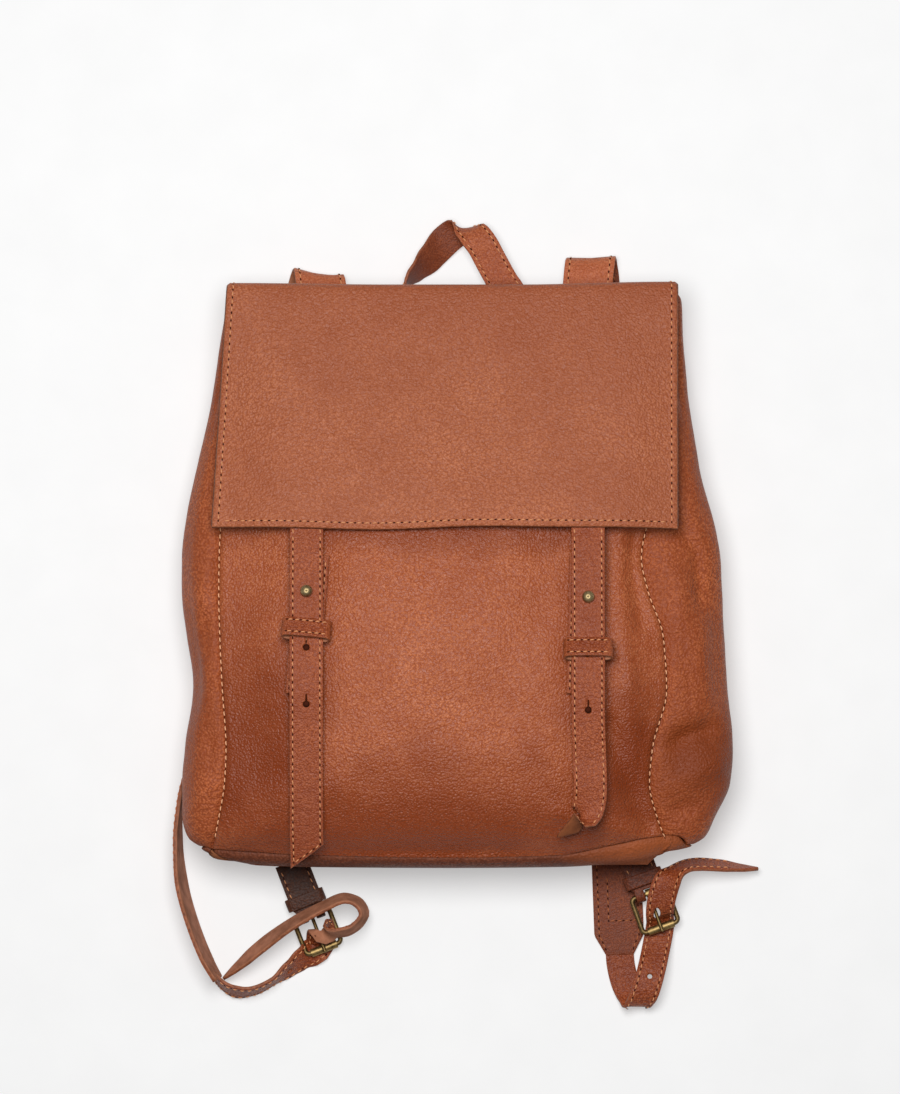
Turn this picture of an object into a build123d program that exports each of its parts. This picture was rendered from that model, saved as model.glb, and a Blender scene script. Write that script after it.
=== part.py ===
from build123d import *
import math
import os

# Leather backpack lying on its back. Millimetres, +Z up from the surface that it lies on.
# The model is laid out in bag coordinates: X from the middle of the bag, Y from the fold at the
# top of the flap (negative towards the base), Z from the surface. The last step moves every
# piece so that the frame's origin is in the middle of the whole part's lowest face.

os.makedirs("parts", exist_ok=True)

# ---- Driving dimensions -------------------------------------------------------------------
LEATHER = 2.2            # thickness of the bag's panels, closure straps and adjuster straps
STRAP_LEATHER = 2.5      # thickness of the lined shoulder straps
GAP = 0.3                # air between two pieces that only lie on each other
ORIGIN = (7.7, -199.8)   # middle of the whole part, in bag coordinates

BACK_Z = 3.0             # underside of the back panel, which lies on the shoulder straps
BACK_MOUTH_Z = 10.5      # the same at the mouth, which rests on the folds of the straps
MOUTH_Y = -9.0           # top edge of the bag's own panels
REAR_SEAM_Y = -8.0       # seam of back panel, strap ends and flap
FLAP_LENGTH = 147.0      # from the fold to the lower edge
FLAP_FOLD_Z = 52.6       # outer face of the flap at the fold
FLAP_EDGE_Z = 81.4       # outer face of the flap at its lower edge
CLOSURE_WIDTH = 20.0
SHOULDER_WIDTH = 30.0
ADJUSTER_WIDTH = 17.0
HANDLE_WIDTH = 19.0
STUD_HEAD_RADIUS = 3.1
FRAME_WIRE = 1.5         # radius of the buckle frame's wire
FRAME_LENGTH = 22.0      # from the chape bar's axis to the roller bar's axis
FRAME_HALF_WIDTH = 11.3  # from the frame's middle to the axis of a side arm
ROLLER_RADIUS = 2.5

# One row for each cross-section of the bag, from the mouth to the base:
# Y, left front seam X, left side X, right front seam X, right side X, seam Z, middle Z, side Z,
# underside Z of the back panel
SECTIONS = [
    (MOUTH_Y, -131.0, -137.0, 127.0, 134.0, 45.0, 47.0, 25.0, BACK_MOUTH_Z),
    (-110.0, -136.0, -156.0, 124.0, 150.0, 62.0, 68.0, 33.0, BACK_Z),
    (-230.0, -139.0, -161.5, 122.0, 165.0, 78.0, 87.0, 38.0, BACK_Z),
    (-300.0, -139.0, -163.5, 124.0, 167.0, 79.0, 88.0, 38.0, BACK_Z),
    (-338.0, -141.0, -159.5, 128.0, 148.0, 72.0, 78.0, 36.0, BACK_Z),
]
BACK_LEFT, BACK_RIGHT = -132.0, 128.0
SEAM_INSET = 2.2         # front and back panels end this far inside the gussets' edges
FLAT = 1e-6              # four corners this close to one plane make one face
BASE_Y = -350.5          # outermost face of the base panel


# ---- Helpers --------------------------------------------------------------------------------
def save(name, shape):
    """Move a finished piece to the part's frame and write it."""
    placed = shape.moved(Location((-ORIGIN[0], -ORIGIN[1], 0)))
    placed.label = name
    export_step(placed, f"parts/{name}.step")


def polygon(points):
    return Face(Wire.make_polygon([Vector(*p) for p in points], close=True))


def prism_x(profile, x_low, width):
    """Extrude a closed YZ profile along X."""
    return Solid.extrude(polygon([(x_low, y, z) for y, z in profile]), Vector(width, 0, 0))


def frustum(wires):
    return Solid.make_loft(wires, ruled=True)


def rectangle(corner_points):
    return Wire.make_polygon([Vector(*p) for p in corner_points], close=True)


def upright_cylinder(x, y, z_low, z_high, radius):
    return Solid.make_cylinder(radius, z_high - z_low, Plane((x, y, z_low)))


def ribbon(stations, thickness):
    """A strap through stations of (point, direction across the strap, width), with flat facets."""
    points = [Vector(*point) for point, _, _ in stations]
    rings = []
    for i, (_, across, width) in enumerate(stations):
        before = points[max(i - 1, 0)]
        after = points[min(i + 1, len(points) - 1)]
        side = Vector(*across).normalized()
        normal = (after - before).cross(side).normalized()
        half_w = side * (width / 2)
        half_t = normal * (thickness / 2)
        p = points[i]
        rings.append([p - half_w - half_t, p + half_w - half_t,
                      p + half_w + half_t, p - half_w + half_t])
    faces = [polygon(rings[0]), polygon(rings[-1])]
    for ring, following in zip(rings, rings[1:]):
        for k in range(4):
            a, b = ring[k], ring[(k + 1) % 4]
            c, d = following[(k + 1) % 4], following[k]
            if abs((b - a).cross(c - a).normalized().dot(d - a)) < FLAT:
                faces.append(polygon([a, b, c, d]))
            else:
                faces += [polygon([a, b, c]), polygon([a, c, d])]
    solid = Solid(Shell(faces))
    return solid if solid.volume > 0 else Solid(solid.wrapped.Reversed())


def between(a, b, t):
    return a + (b - a) * t


def section_at(y):
    """The bag's cross-section values at a height between two rows of SECTIONS."""
    for upper, lower in zip(SECTIONS, SECTIONS[1:]):
        if lower[0] <= y <= upper[0]:
            t = (upper[0] - y) / (upper[0] - lower[0])
            return [between(a, b, t) for a, b in zip(upper, lower)]
    return list(SECTIONS[-1])


def panel_height(x, y):
    """Outer face of the front panel."""
    _, left, _, right, _, seam_z, middle_z, _, _ = section_at(y)
    half = (right - left) / 2
    rise = middle_z - seam_z
    radius = (half ** 2 + rise ** 2) / (2 * rise)
    offset = x - (left + right) / 2
    return middle_z - radius + math.sqrt(radius ** 2 - offset ** 2)


def flap_underside(y):
    return between(FLAP_FOLD_Z, FLAP_EDGE_Z, -y / FLAP_LENGTH) - LEATHER


# ---- The bag's panels -----------------------------------------------------------------------
def arc_through(a, b, c):
    return Edge.make_three_point_arc(Vector(*a), Vector(*b), Vector(*c))


def strip_wire(y, start, middle, end):
    """A curved strip of one leather thickness in the plane at y, through three (x, z) points."""
    outer = arc_through(*[(x, y, z) for x, z in (start, middle, end)])
    centre = outer.arc_center
    inner_points = []
    for x, z in (end, middle, start):
        point = Vector(x, y, z)
        inner_points.append(point + (centre - point).normalized() * LEATHER)
    inner = arc_through(*inner_points)
    first_end = Edge.make_line(outer @ 1, inner @ 0)
    last_end = Edge.make_line(inner @ 1, outer @ 0)
    return Wire([outer, first_end, inner, last_end])


def front_panel():
    wires = []
    for y, left, _, right, _, seam_z, middle_z, _, _ in SECTIONS:
        middle_x = (left + right) / 2
        wires.append(strip_wire(
            y, (right - SEAM_INSET, seam_z), (middle_x, middle_z), (left + SEAM_INSET, seam_z)))
    panel = frustum(wires)
    for x, y in STUD_PLACES:
        panel -= upright_cylinder(x, y, 40, 100, SCREW_RADIUS + GAP)
    return panel


def gusset(side):
    wires = []
    for y, left_seam, left, right_seam, right, seam_z, _, side_z, back_z in SECTIONS:
        seam_x, side_x, back_x = (
            (left_seam, left, BACK_LEFT) if side == "left" else (right_seam, right, BACK_RIGHT))
        wires.append(strip_wire(
            y, (seam_x, seam_z), (side_x, side_z), (back_x, back_z + LEATHER / 2)))
    return frustum(wires)


def back_panel():
    low, high = BACK_LEFT + SEAM_INSET, BACK_RIGHT - SEAM_INSET
    under = [(row[0], row[-1]) for row in (SECTIONS[0], SECTIONS[1], SECTIONS[-1])]
    profile = under + [(y, z + LEATHER) for y, z in reversed(under)]
    return prism_x(profile, low, high - low)


def closed_section(y, inset):
    """The bag's whole outline near the base, pulled in all round."""
    _, left_seam, left, right_seam, right, seam_z, middle_z, side_z, _ = SECTIONS[-1]
    low_z, high_z = BACK_Z + inset, seam_z - inset
    back_left, back_right = BACK_LEFT + inset, BACK_RIGHT - inset
    seam_left, seam_right = left_seam + inset, right_seam - inset
    middle_x = (left_seam + right_seam) / 2
    edges = [
        Edge.make_line(Vector(back_left, y, low_z), Vector(back_right, y, low_z)),
        arc_through((back_right, y, low_z), (right - inset, y, side_z), (seam_right, y, high_z)),
        arc_through((seam_right, y, high_z), (middle_x, y, middle_z - inset), (seam_left, y, high_z)),
        arc_through((seam_left, y, high_z), (left + inset, y, side_z), (back_left, y, low_z)),
    ]
    return Wire(edges)


def base_panel():
    """A shallow tray with sloping sides that closes the bag's lower end."""
    rim_y = SECTIONS[-1][0] - 0.2
    slope_inset = 15.0
    outer = frustum([closed_section(rim_y, 0), closed_section(BASE_Y, slope_inset)])
    inner = frustum([
        closed_section(rim_y + 1, LEATHER),
        closed_section(BASE_Y + LEATHER, slope_inset + LEATHER / 2)])
    return outer - inner


# ---- The flap -------------------------------------------------------------------------------
FLAP_TOP_LEFT, FLAP_TOP_RIGHT = -135.6, 134.4
FLAP_LOW_LEFT, FLAP_LOW_RIGHT = -144.6, 133.8
FLAP_REAR_LEFT, FLAP_REAR_RIGHT = -131.0, 127.0
REAR_SEAM_DEPTH = 14.0
SEAM_END_Z = BACK_MOUTH_Z + LEATHER + GAP + STRAP_LEATHER / 2    # middle of the sewn strap ends
REAR_SEAM_Z = SEAM_END_Z + STRAP_LEATHER / 2 + GAP               # underside of the flap there


def flap_rear_seam():
    """The rear edge of the flap, sewn down over the strap ends and the back panel."""
    width = FLAP_REAR_RIGHT - FLAP_REAR_LEFT
    y_low = REAR_SEAM_Y - REAR_SEAM_DEPTH
    profile = [
        (y_low, REAR_SEAM_Z), (REAR_SEAM_Y, REAR_SEAM_Z),
        (REAR_SEAM_Y, REAR_SEAM_Z + LEATHER), (y_low, REAR_SEAM_Z + LEATHER)]
    return prism_x(profile, FLAP_REAR_LEFT, width)


def flap_top_band():
    """The stretch of the flap that crosses the mouth of the bag, from the rear seam to the fold."""
    low_z = REAR_SEAM_Z + LEATHER + 0.2
    high_z = FLAP_FOLD_Z - LEATHER - 0.2
    lean = (low_z - REAR_SEAM_Z) / (FLAP_FOLD_Z - REAR_SEAM_Z)
    low_y = between(REAR_SEAM_Y, 0, lean)
    return frustum([
        rectangle([(FLAP_REAR_LEFT, low_y - LEATHER, low_z), (FLAP_REAR_RIGHT, low_y - LEATHER, low_z),
                   (FLAP_REAR_RIGHT, low_y, low_z), (FLAP_REAR_LEFT, low_y, low_z)]),
        rectangle([(FLAP_TOP_LEFT, -LEATHER, high_z), (FLAP_TOP_RIGHT, -LEATHER, high_z),
                   (FLAP_TOP_RIGHT, 0, high_z), (FLAP_TOP_LEFT, 0, high_z)])])


def flap():
    """The front of the flap, from the fold to its lower edge."""
    top_y, low_y = -0.2, -FLAP_LENGTH
    top_z, low_z = flap_underside(top_y), flap_underside(low_y)
    return frustum([
        rectangle([(FLAP_TOP_LEFT, top_y, top_z), (FLAP_TOP_RIGHT, top_y, top_z),
                   (FLAP_TOP_RIGHT, top_y, top_z + LEATHER), (FLAP_TOP_LEFT, top_y, top_z + LEATHER)]),
        rectangle([(FLAP_LOW_LEFT, low_y, low_z), (FLAP_LOW_RIGHT, low_y, low_z),
                   (FLAP_LOW_RIGHT, low_y, low_z + LEATHER), (FLAP_LOW_LEFT, low_y, low_z + LEATHER)])])


# ---- Closure straps, keepers, backing strips and studs ---------------------------------------
CLOSURE_X = {"left": -88.0, "right": 80.0}
STUD_Y = {"left": -184.5, "right": -188.0}
KEEPER_Y = {"left": -207.5, "right": -219.0}
STUD_PLACES = [(CLOSURE_X[side], STUD_Y[side]) for side in ("left", "right")]
SCREW_RADIUS = 1.4
SLOT_RADIUS = 3.6            # the keyhole, drawn as it is when the leather stretches over the stud
SLOT_REACH = 5.0             # how far the slot runs from the stud towards the flap
HOLE_PITCH = 34.0            # from one keyhole to the next
KEYHOLE_RADIUS = 2.1
BACKING_LENGTH = 86.0
BACKING_TOP_Y = -162.0
BACKING_LIFT = 0.4           # underside of the backing strip above the panel's highest point there
KEEPER_LENGTH = 12.0
KEEPER_LEATHER = 1.8
KEEPER_INNER_WIDTH = 26.0
KEEPER_CLEARANCE = 0.35
STRAP_LIFT = BACKING_LIFT + LEATHER + KEEPER_LEATHER + KEEPER_CLEARANCE + 0.45
STRAIGHT_TOP_Y = -166.0      # between these two heights the closure straps run straight
STRAIGHT_LOW_Y = -240.0


def strap_base(side, y):
    """Underside of a closure strap over the panel."""
    inner_x = CLOSURE_X[side] - math.copysign(CLOSURE_WIDTH / 2 + 3, CLOSURE_X[side])
    return panel_height(inner_x, y) + STRAP_LIFT


def strap_line(side, y):
    """Underside of a closure strap on its straight stretch, which its keeper slides along."""
    fullest_y = SECTIONS[2][0]
    t = (STRAIGHT_TOP_Y - y) / (STRAIGHT_TOP_Y - fullest_y)
    return between(strap_base(side, STRAIGHT_TOP_Y), strap_base(side, fullest_y), t) + GAP


def closure_strap(side):
    hinge_y = -FLAP_LENGTH - 0.3
    long_end, short_end = (-349.5, -333.0) if side == "left" else (-338.0, -330.0)
    under = [(hinge_y, flap_underside(-FLAP_LENGTH) - LEATHER)]
    under += [(y, strap_line(side, y)) for y in (STRAIGHT_TOP_Y, STRAIGHT_LOW_Y)]
    under += [(-300.0, strap_base(side, -300.0)), (-334.0, strap_base(side, -334.0) + 1)]
    if side == "left":
        under.append((long_end, strap_base(side, -338.0) - 5))
    else:
        under.append((long_end, strap_base(side, -338.0)))
    profile = under + [(y, z + LEATHER) for y, z in reversed(under)]
    x_low = CLOSURE_X[side] - CLOSURE_WIDTH / 2
    strap = prism_x(profile, x_low, CLOSURE_WIDTH)
    corners = [(x_low - 1, long_end - 1), (x_low + CLOSURE_WIDTH + 1, long_end - 1),
               (x_low + CLOSURE_WIDTH + 1, short_end)]
    cut = Solid.extrude(polygon([(x, y, 40) for x, y in corners]), Vector(0, 0, 80))
    strap -= cut
    x, y = CLOSURE_X[side], STUD_Y[side]
    strap -= upright_cylinder(x, y, 60, 120, SLOT_RADIUS)
    strap -= Solid.make_box(2 * SLOT_RADIUS, SLOT_REACH, 60, Plane((x - SLOT_RADIUS, y, 60)))
    for step in (1, 2):
        hole_y = y - HOLE_PITCH * step
        strap -= upright_cylinder(x, hole_y, 60, 120, KEYHOLE_RADIUS)
        strap -= Solid.make_box(1.2, 6.5, 60, Plane((x - 0.6, hole_y, 60)))
    return strap


def closure_sewn_end(side):
    """The end of a closure strap that is sewn under the flap's lower edge."""
    x_low = CLOSURE_X[side] - CLOSURE_WIDTH / 2
    start, end = -FLAP_LENGTH + 11.0, -FLAP_LENGTH
    gap = 0.05
    high_start, high_end = flap_underside(start) - gap, flap_underside(end) - gap
    thickness = LEATHER - 0.1
    profile = [(start, high_start), (end, high_end), (end, high_end - thickness),
               (start, high_start - thickness)]
    return prism_x(profile, x_low, CLOSURE_WIDTH)


def keeper(side):
    """A closed loop of leather around the closure strap."""
    middle_y = KEEPER_Y[side]
    rise = strap_line(side, middle_y + 1) - strap_line(side, middle_y)
    middle_z = strap_line(side, middle_y) + LEATHER / 2
    plane = Plane((CLOSURE_X[side], middle_y, middle_z), x_dir=(1, 0, 0), z_dir=(0, -rise, 1))
    inner_height = LEATHER + 2 * KEEPER_CLEARANCE
    outer = Box(KEEPER_INNER_WIDTH + 2 * KEEPER_LEATHER, KEEPER_LENGTH,
                inner_height + 2 * KEEPER_LEATHER)
    hole = Box(KEEPER_INNER_WIDTH, KEEPER_LENGTH + 2, inner_height)
    return (outer - hole).moved(plane.location)


def backing_strip(side):
    """The strip sewn to the front panel under the closure strap; the stud is screwed to it."""
    x_low = CLOSURE_X[side] - CLOSURE_WIDTH / 2
    ends = (BACKING_TOP_Y, SECTIONS[2][0], BACKING_TOP_Y - BACKING_LENGTH)
    lift = BACKING_LIFT - STRAP_LIFT
    under = [(y, strap_base(side, y) + lift) for y in ends]
    profile = under + [(y, z + LEATHER) for y, z in reversed(under)]
    strip = prism_x(profile, x_low, CLOSURE_WIDTH)
    return strip - upright_cylinder(CLOSURE_X[side], STUD_Y[side], 40, 100, SCREW_RADIUS + GAP)


def stud(side):
    """Button stud: base disc, neck and domed head, with a threaded bore from below."""
    x, y = CLOSURE_X[side], STUD_Y[side]
    base_z = strap_base(side, y) - STRAP_LIFT + BACKING_LIFT + LEATHER + 0.6
    strap_top = strap_line(side, y) + LEATHER
    head_z = strap_top + 0.7
    base_radius, base_height, neck_radius = 3.4, 0.9, 2.0
    body = upright_cylinder(x, y, base_z, base_z + base_height, base_radius)
    body += upright_cylinder(x, y, base_z, head_z + 0.5, neck_radius)
    head = Solid.make_sphere(STUD_HEAD_RADIUS, Plane((x, y, head_z + 1.6)))
    head &= Box(10, 10, 4.2).moved(Location((x, y, head_z + 2.1)))
    body += head
    bore_depth = 3.0
    return body - upright_cylinder(x, y, base_z - 1, base_z + bore_depth, SCREW_RADIUS + 0.1)


def stud_screw(side):
    """Flat-headed screw inside the bag that holds the stud."""
    x, y = CLOSURE_X[side], STUD_Y[side]
    panel_low = min(panel_height(x + dx, y + dy) for dx in (-4.5, 4.5) for dy in (-4.5, 4.5))
    head_top = panel_low - LEATHER - 0.5
    tip = strap_base(side, y) - STRAP_LIFT + BACKING_LIFT + LEATHER + 2.6
    screw = upright_cylinder(x, y, head_top - 1.2, head_top, 4.5)
    return screw + upright_cylinder(x, y, head_top, tip, SCREW_RADIUS)


# ---- Grab handle ----------------------------------------------------------------------------
def flat_end(x, width, thickness):
    """A strap end in the rear seam."""
    y_low, y_high = REAR_SEAM_Y - REAR_SEAM_DEPTH, REAR_SEAM_Y - 1.2
    profile = [(y_low, SEAM_END_Z - thickness / 2), (y_high, SEAM_END_Z - thickness / 2),
               (y_high, SEAM_END_Z + thickness / 2), (y_low, SEAM_END_Z + thickness / 2)]
    return prism_x(profile, x - width / 2, width)


HANDLE_ENDS = {"left": -37.0, "right": 34.5}


def grab_handle():
    """A strip that rises flat on the right, folds over at the top, and comes down on the left
    with half a twist."""
    w = HANDLE_WIDTH
    return ribbon([
        ((34.5, -7.4, SEAM_END_Z), (1.0, 0.0, 0.0), w),
        ((33.8, -5.4, SEAM_END_Z), (1.0, 0.15, 0.0), w),
        ((29.6, 0.8, 14.0), (0.9, 0.43, 0.0), w),
        ((22.5, 14.0, 14.4), (0.9, 0.43, 0.05), w),
        ((16.0, 25.0, 15.5), (0.95, 0.3, 0.0), w),
        ((10.0, 31.0, 13.5), (1.0, 0.0, 0.0), w),
        ((4.0, 31.5, 8.5), (0.95, -0.3, -0.1), w),
        ((-4.0, 26.5, 6.5), (0.75, -0.62, -0.2), w),
        ((-14.5, 15.5, 8.0), (0.6, -0.5, -0.6), w),
        ((-23.0, 7.0, 9.6), (0.35, -0.3, -0.88), w),
        ((-29.0, 0.8, 9.8), (0.1, -0.1, -0.95), w),
        ((-33.5, -3.2, 11.2), (-0.6, 0.1, -0.6), w),
        ((-36.0, -5.8, 13.6), (-0.95, 0.05, -0.15), w),
        ((-37.0, -7.4, SEAM_END_Z), (-1.0, 0.0, 0.0), w),
    ], LEATHER)


# ---- Shoulder straps ------------------------------------------------------------------------
def shoulder_strap_right():
    """Sewn end, fold above the top edge, then straight down behind the bag to the tapered end."""
    across, w = (1.0, 0.035, 0.0), SHOULDER_WIDTH
    low = STRAP_LEATHER / 2
    return ribbon([
        ((80.0, -22.0, SEAM_END_Z), across, w),
        ((80.5, -6.0, SEAM_END_Z), across, w),
        ((81.0, 3.0, 14.5), across, w),
        ((81.8, 9.6, 13.0), across, w),
        ((82.5, 13.2, 9.6), across, w),
        ((83.3, 13.4, 5.6), across, w),
        ((84.0, 10.4, 2.4), across, w),
        ((85.0, 4.0, low), across, w),
        ((99.7, -386.0, low), across, 24.0),
        ((100.2, -401.0, low), across, ADJUSTER_WIDTH + 0.5),
    ], STRAP_LEATHER)


def shoulder_strap_left():
    """Like the right one, but it leaves the bag at its lower left side and stands on edge there."""
    flat, w = (0.969, -0.247, 0.0), SHOULDER_WIDTH
    low = STRAP_LEATHER / 2
    tall = 14.9
    lean = (-0.17, 0.0, 0.98)
    return ribbon([
        ((-79.0, -22.0, SEAM_END_Z), (1.0, 0.0, 0.0), w),
        ((-79.6, -6.0, SEAM_END_Z), (1.0, -0.05, 0.0), w),
        ((-80.4, 1.0, 13.6), (1.0, -0.1, 0.0), w),
        ((-81.4, 4.8, 11.0), (1.0, -0.14, 0.0), w),
        ((-82.4, 5.8, 7.4), (1.0, -0.18, 0.0), w),
        ((-83.6, 4.2, 3.8), (1.0, -0.22, 0.0), w),
        ((-85.0, 0.0, 1.8), flat, w),
        ((-87.0, -7.5, low), flat, w),
        ((-147.4, -245.0, low), flat, w),
        ((-153.0, -266.0, 5.0), (0.9, -0.2, -0.35), w),
        ((-160.0, -286.0, 10.8), (0.6, -0.1, -0.75), w),
        ((-166.2, -308.0, tall), (0.1, 0.0, -1.0), w),
        ((-166.6, -338.0, tall), (0.1, 0.0, -1.0), w),
        ((-164.2, -363.0, tall), (0.17, 0.0, -0.98), w),
        ((-157.5, -387.0, tall), (0.17, 0.0, -0.98), w),
        ((-147.0, -411.0, tall), (0.17, 0.0, -0.98), w),
    ], STRAP_LEATHER)


# ---- Buckles --------------------------------------------------------------------------------
# Each buckle has its own plane: origin on the chape bar's axis, X towards the bag, Y along the
# bar, Z up. The roller is at X = -FRAME_LENGTH.
BUCKLES = {
    "left": Plane((-86.4, -380.6, 6.4), x_dir=(-0.36, 0.933, 0), z_dir=(0, 0, 1)),
    "right": Plane((117.7, -367.7, 9.4), x_dir=(-0.341, 0.94, 0), z_dir=(0, 0, 1)),
}
CHAPE_WIDTH = 20.0
FOLD_RADIUS = 3.9            # outside of the chape where it turns around the bar
BAR_CLEARANCE = 0.2
PRONG_RADIUS = 1.1
PRONG_SLOT = 5.0
CHAPE_KEEPER_START, CHAPE_KEEPER_LENGTH = 5.6, 7.6


def chape(side):
    """A doubled strip that turns around the buckle's bar and is sewn into the base seam."""
    reach = 40.0
    joined = 13.0
    top_of_layers = -FOLD_RADIUS + 2 * LEATHER
    half = CHAPE_WIDTH / 2
    hole = FRAME_WIRE + BAR_CLEARANCE

    def extruded(points):
        return Solid.extrude(polygon([(x, -half, z) for x, z in points]), Vector(0, CHAPE_WIDTH, 0))

    def round_bar(radius):
        return Solid.make_cylinder(radius, CHAPE_WIDTH, Plane((0, -half, 0), z_dir=(0, 1, 0)))

    body = extruded([(0, FOLD_RADIUS), (joined, top_of_layers), (reach, top_of_layers),
                     (reach, -FOLD_RADIUS), (0, -FOLD_RADIUS)]) + round_bar(FOLD_RADIUS)
    body -= round_bar(hole)
    body -= extruded([(0, hole), (joined - 4, -FOLD_RADIUS + LEATHER + 0.4),
                      (joined - 4, -FOLD_RADIUS + LEATHER), (0, -hole)])
    body -= Box(2 * FOLD_RADIUS + 2, PRONG_SLOT, 4 * FOLD_RADIUS).moved(Location((-2.0, 0, 0)))
    skived = 1.7
    for edge in (-1, 1):
        trim = Box(FOLD_RADIUS + 3, 2 * skived, 4 * FOLD_RADIUS)
        body -= trim.moved(Location((0.5 - FOLD_RADIUS / 2, edge * half, 0)))
    body = body.moved(BUCKLES[side].location)
    outside = Box(200, 100, 60).moved(Location((0, BASE_Y + 50 - 0.3, 0)))
    return body - outside.moved(Location((BUCKLES[side].origin.X, 0, 0)))


def chape_keeper(side):
    """A closed loop around the chape, with room for the adjuster strap's tail."""
    wall = 1.6
    low = -FOLD_RADIUS - 0.2
    high = -FOLD_RADIUS + 2 * LEATHER + LEATHER + 0.6
    middle_x = CHAPE_KEEPER_START + CHAPE_KEEPER_LENGTH / 2
    width = CHAPE_WIDTH + 0.8
    outer = Box(CHAPE_KEEPER_LENGTH, width + 2 * wall, high - low + 2 * wall)
    hole = Box(CHAPE_KEEPER_LENGTH + 2, width, high - low)
    loop = (outer - hole).moved(Location((middle_x, 0, (high + low) / 2)))
    return loop.moved(BUCKLES[side].location)


def buckle_frame(side):
    """A rounded rectangle of brass wire."""
    corner = 2.6
    centre = Location((-FRAME_LENGTH / 2, 0, 0))
    path = RectangleRounded(FRAME_LENGTH, 2 * FRAME_HALF_WIDTH, corner).wire().moved(centre)
    profile = Plane(origin=path @ 0, z_dir=path % 0) * Circle(FRAME_WIRE)
    return sweep(profile, path=path).moved(BUCKLES[side].location)


def roller(side):
    length = 2 * FRAME_HALF_WIDTH - 6.0
    plane = Plane((-FRAME_LENGTH, -length / 2, 0), z_dir=(0, 1, 0))
    tube = Solid.make_cylinder(ROLLER_RADIUS, length, plane)
    tube -= Solid.make_cylinder(FRAME_WIRE + BAR_CLEARANCE, length, plane)
    return tube.moved(BUCKLES[side].location)


def prong(side):
    """A brass wire with an eye around the chape bar; its tip lies on the roller."""
    eye_width, eye_wall = 3.4, 1.0
    eye_plane = Plane((0, -eye_width / 2, 0), z_dir=(0, 1, 0))
    eye_radius = FRAME_WIRE + BAR_CLEARANCE + eye_wall
    tip_height = ROLLER_RADIUS + PRONG_RADIUS + 0.3
    start = Vector(-eye_radius + 0.4, 0, 0)
    over_roller = Vector(-FRAME_LENGTH - 1.5, 0, tip_height)
    length = (over_roller - start).length
    body = Solid.make_cylinder(PRONG_RADIUS, length, Plane(start, z_dir=over_roller - start))
    body += Solid.make_sphere(PRONG_RADIUS, Plane(over_roller))
    body += Solid.make_cylinder(eye_radius, eye_width, eye_plane)
    body -= Solid.make_cylinder(FRAME_WIRE + BAR_CLEARANCE, eye_width, eye_plane)
    return body.moved(BUCKLES[side].location)


# ---- Adjuster straps ------------------------------------------------------------------------
PRONG_HOLE_ENDS = {"left": (-18.0, -7.2), "right": (-16.5, -4.5)}   # along the buckle's X
PRONG_HOLE_WIDTH = 3.8


def prong_slot(side):
    """The punched hole around the slanting prong, cut upright through the strap."""
    start, end = PRONG_HOLE_ENDS[side]
    hole = Box(end - start, PRONG_HOLE_WIDTH, 16).moved(Location(((start + end) / 2, 0, 2)))
    return hole.moved(BUCKLES[side].location)


def adjuster_strap_right():
    """Out of the shoulder strap's end, over itself in a loop, under the roller, up through the
    frame, and away to the right with a quarter twist."""
    w = ADJUSTER_WIDTH
    low = LEATHER / 2
    strap = ribbon([
        ((100.2, -401.4, low), (1.0, 0.0, 0.0), w),
        ((100.6, -416.0, low), (1.0, 0.0, 0.0), w),
        ((102.6, -427.0, 3.2), (0.97, -0.2, 0.0), w),
        ((106.8, -433.2, 8.6), (0.95, -0.3, -0.1), w),
        ((112.0, -431.8, 15.0), (0.95, -0.3, -0.1), w),
        ((116.0, -424.5, 18.0), (0.96, -0.25, 0.0), w),
        ((119.3, -411.0, 14.0), (0.97, -0.1, 0.0), w),
        ((122.8, -398.5, 6.6), (0.98, 0.1, 0.0), w),
        ((124.4, -391.5, 4.6), (0.97, 0.22, 0.0), w),
        ((124.8, -387.0, 4.9), (0.96, 0.26, 0.0), w),
        ((123.2, -377.5, 11.6), (0.94, 0.2, 0.3), w),
        ((123.0, -367.0, 19.2), (0.96, 0.1, 0.18), w),
        ((127.0, -357.5, 21.3), (0.88, -0.42, 0.3), w),
        ((135.5, -352.0, 16.0), (0.3, -0.5, 0.8), w),
        ((147.5, -349.5, 12.0), (-0.05, -0.45, 0.9), w),
        ((160.5, -351.0, 9.6), (-0.05, -0.4, 0.9), w),
        ((173.5, -352.5, 8.6), (0.0, -0.35, 0.9), 0.8 * w),
        ((184.0, -353.0, 7.6), (0.0, -0.35, 0.9), 1.5),
    ], LEATHER)
    strap -= prong_slot("right")
    return strap - upright_cylinder(118.4, -414.5, 5, 30, 1.4)


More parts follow.
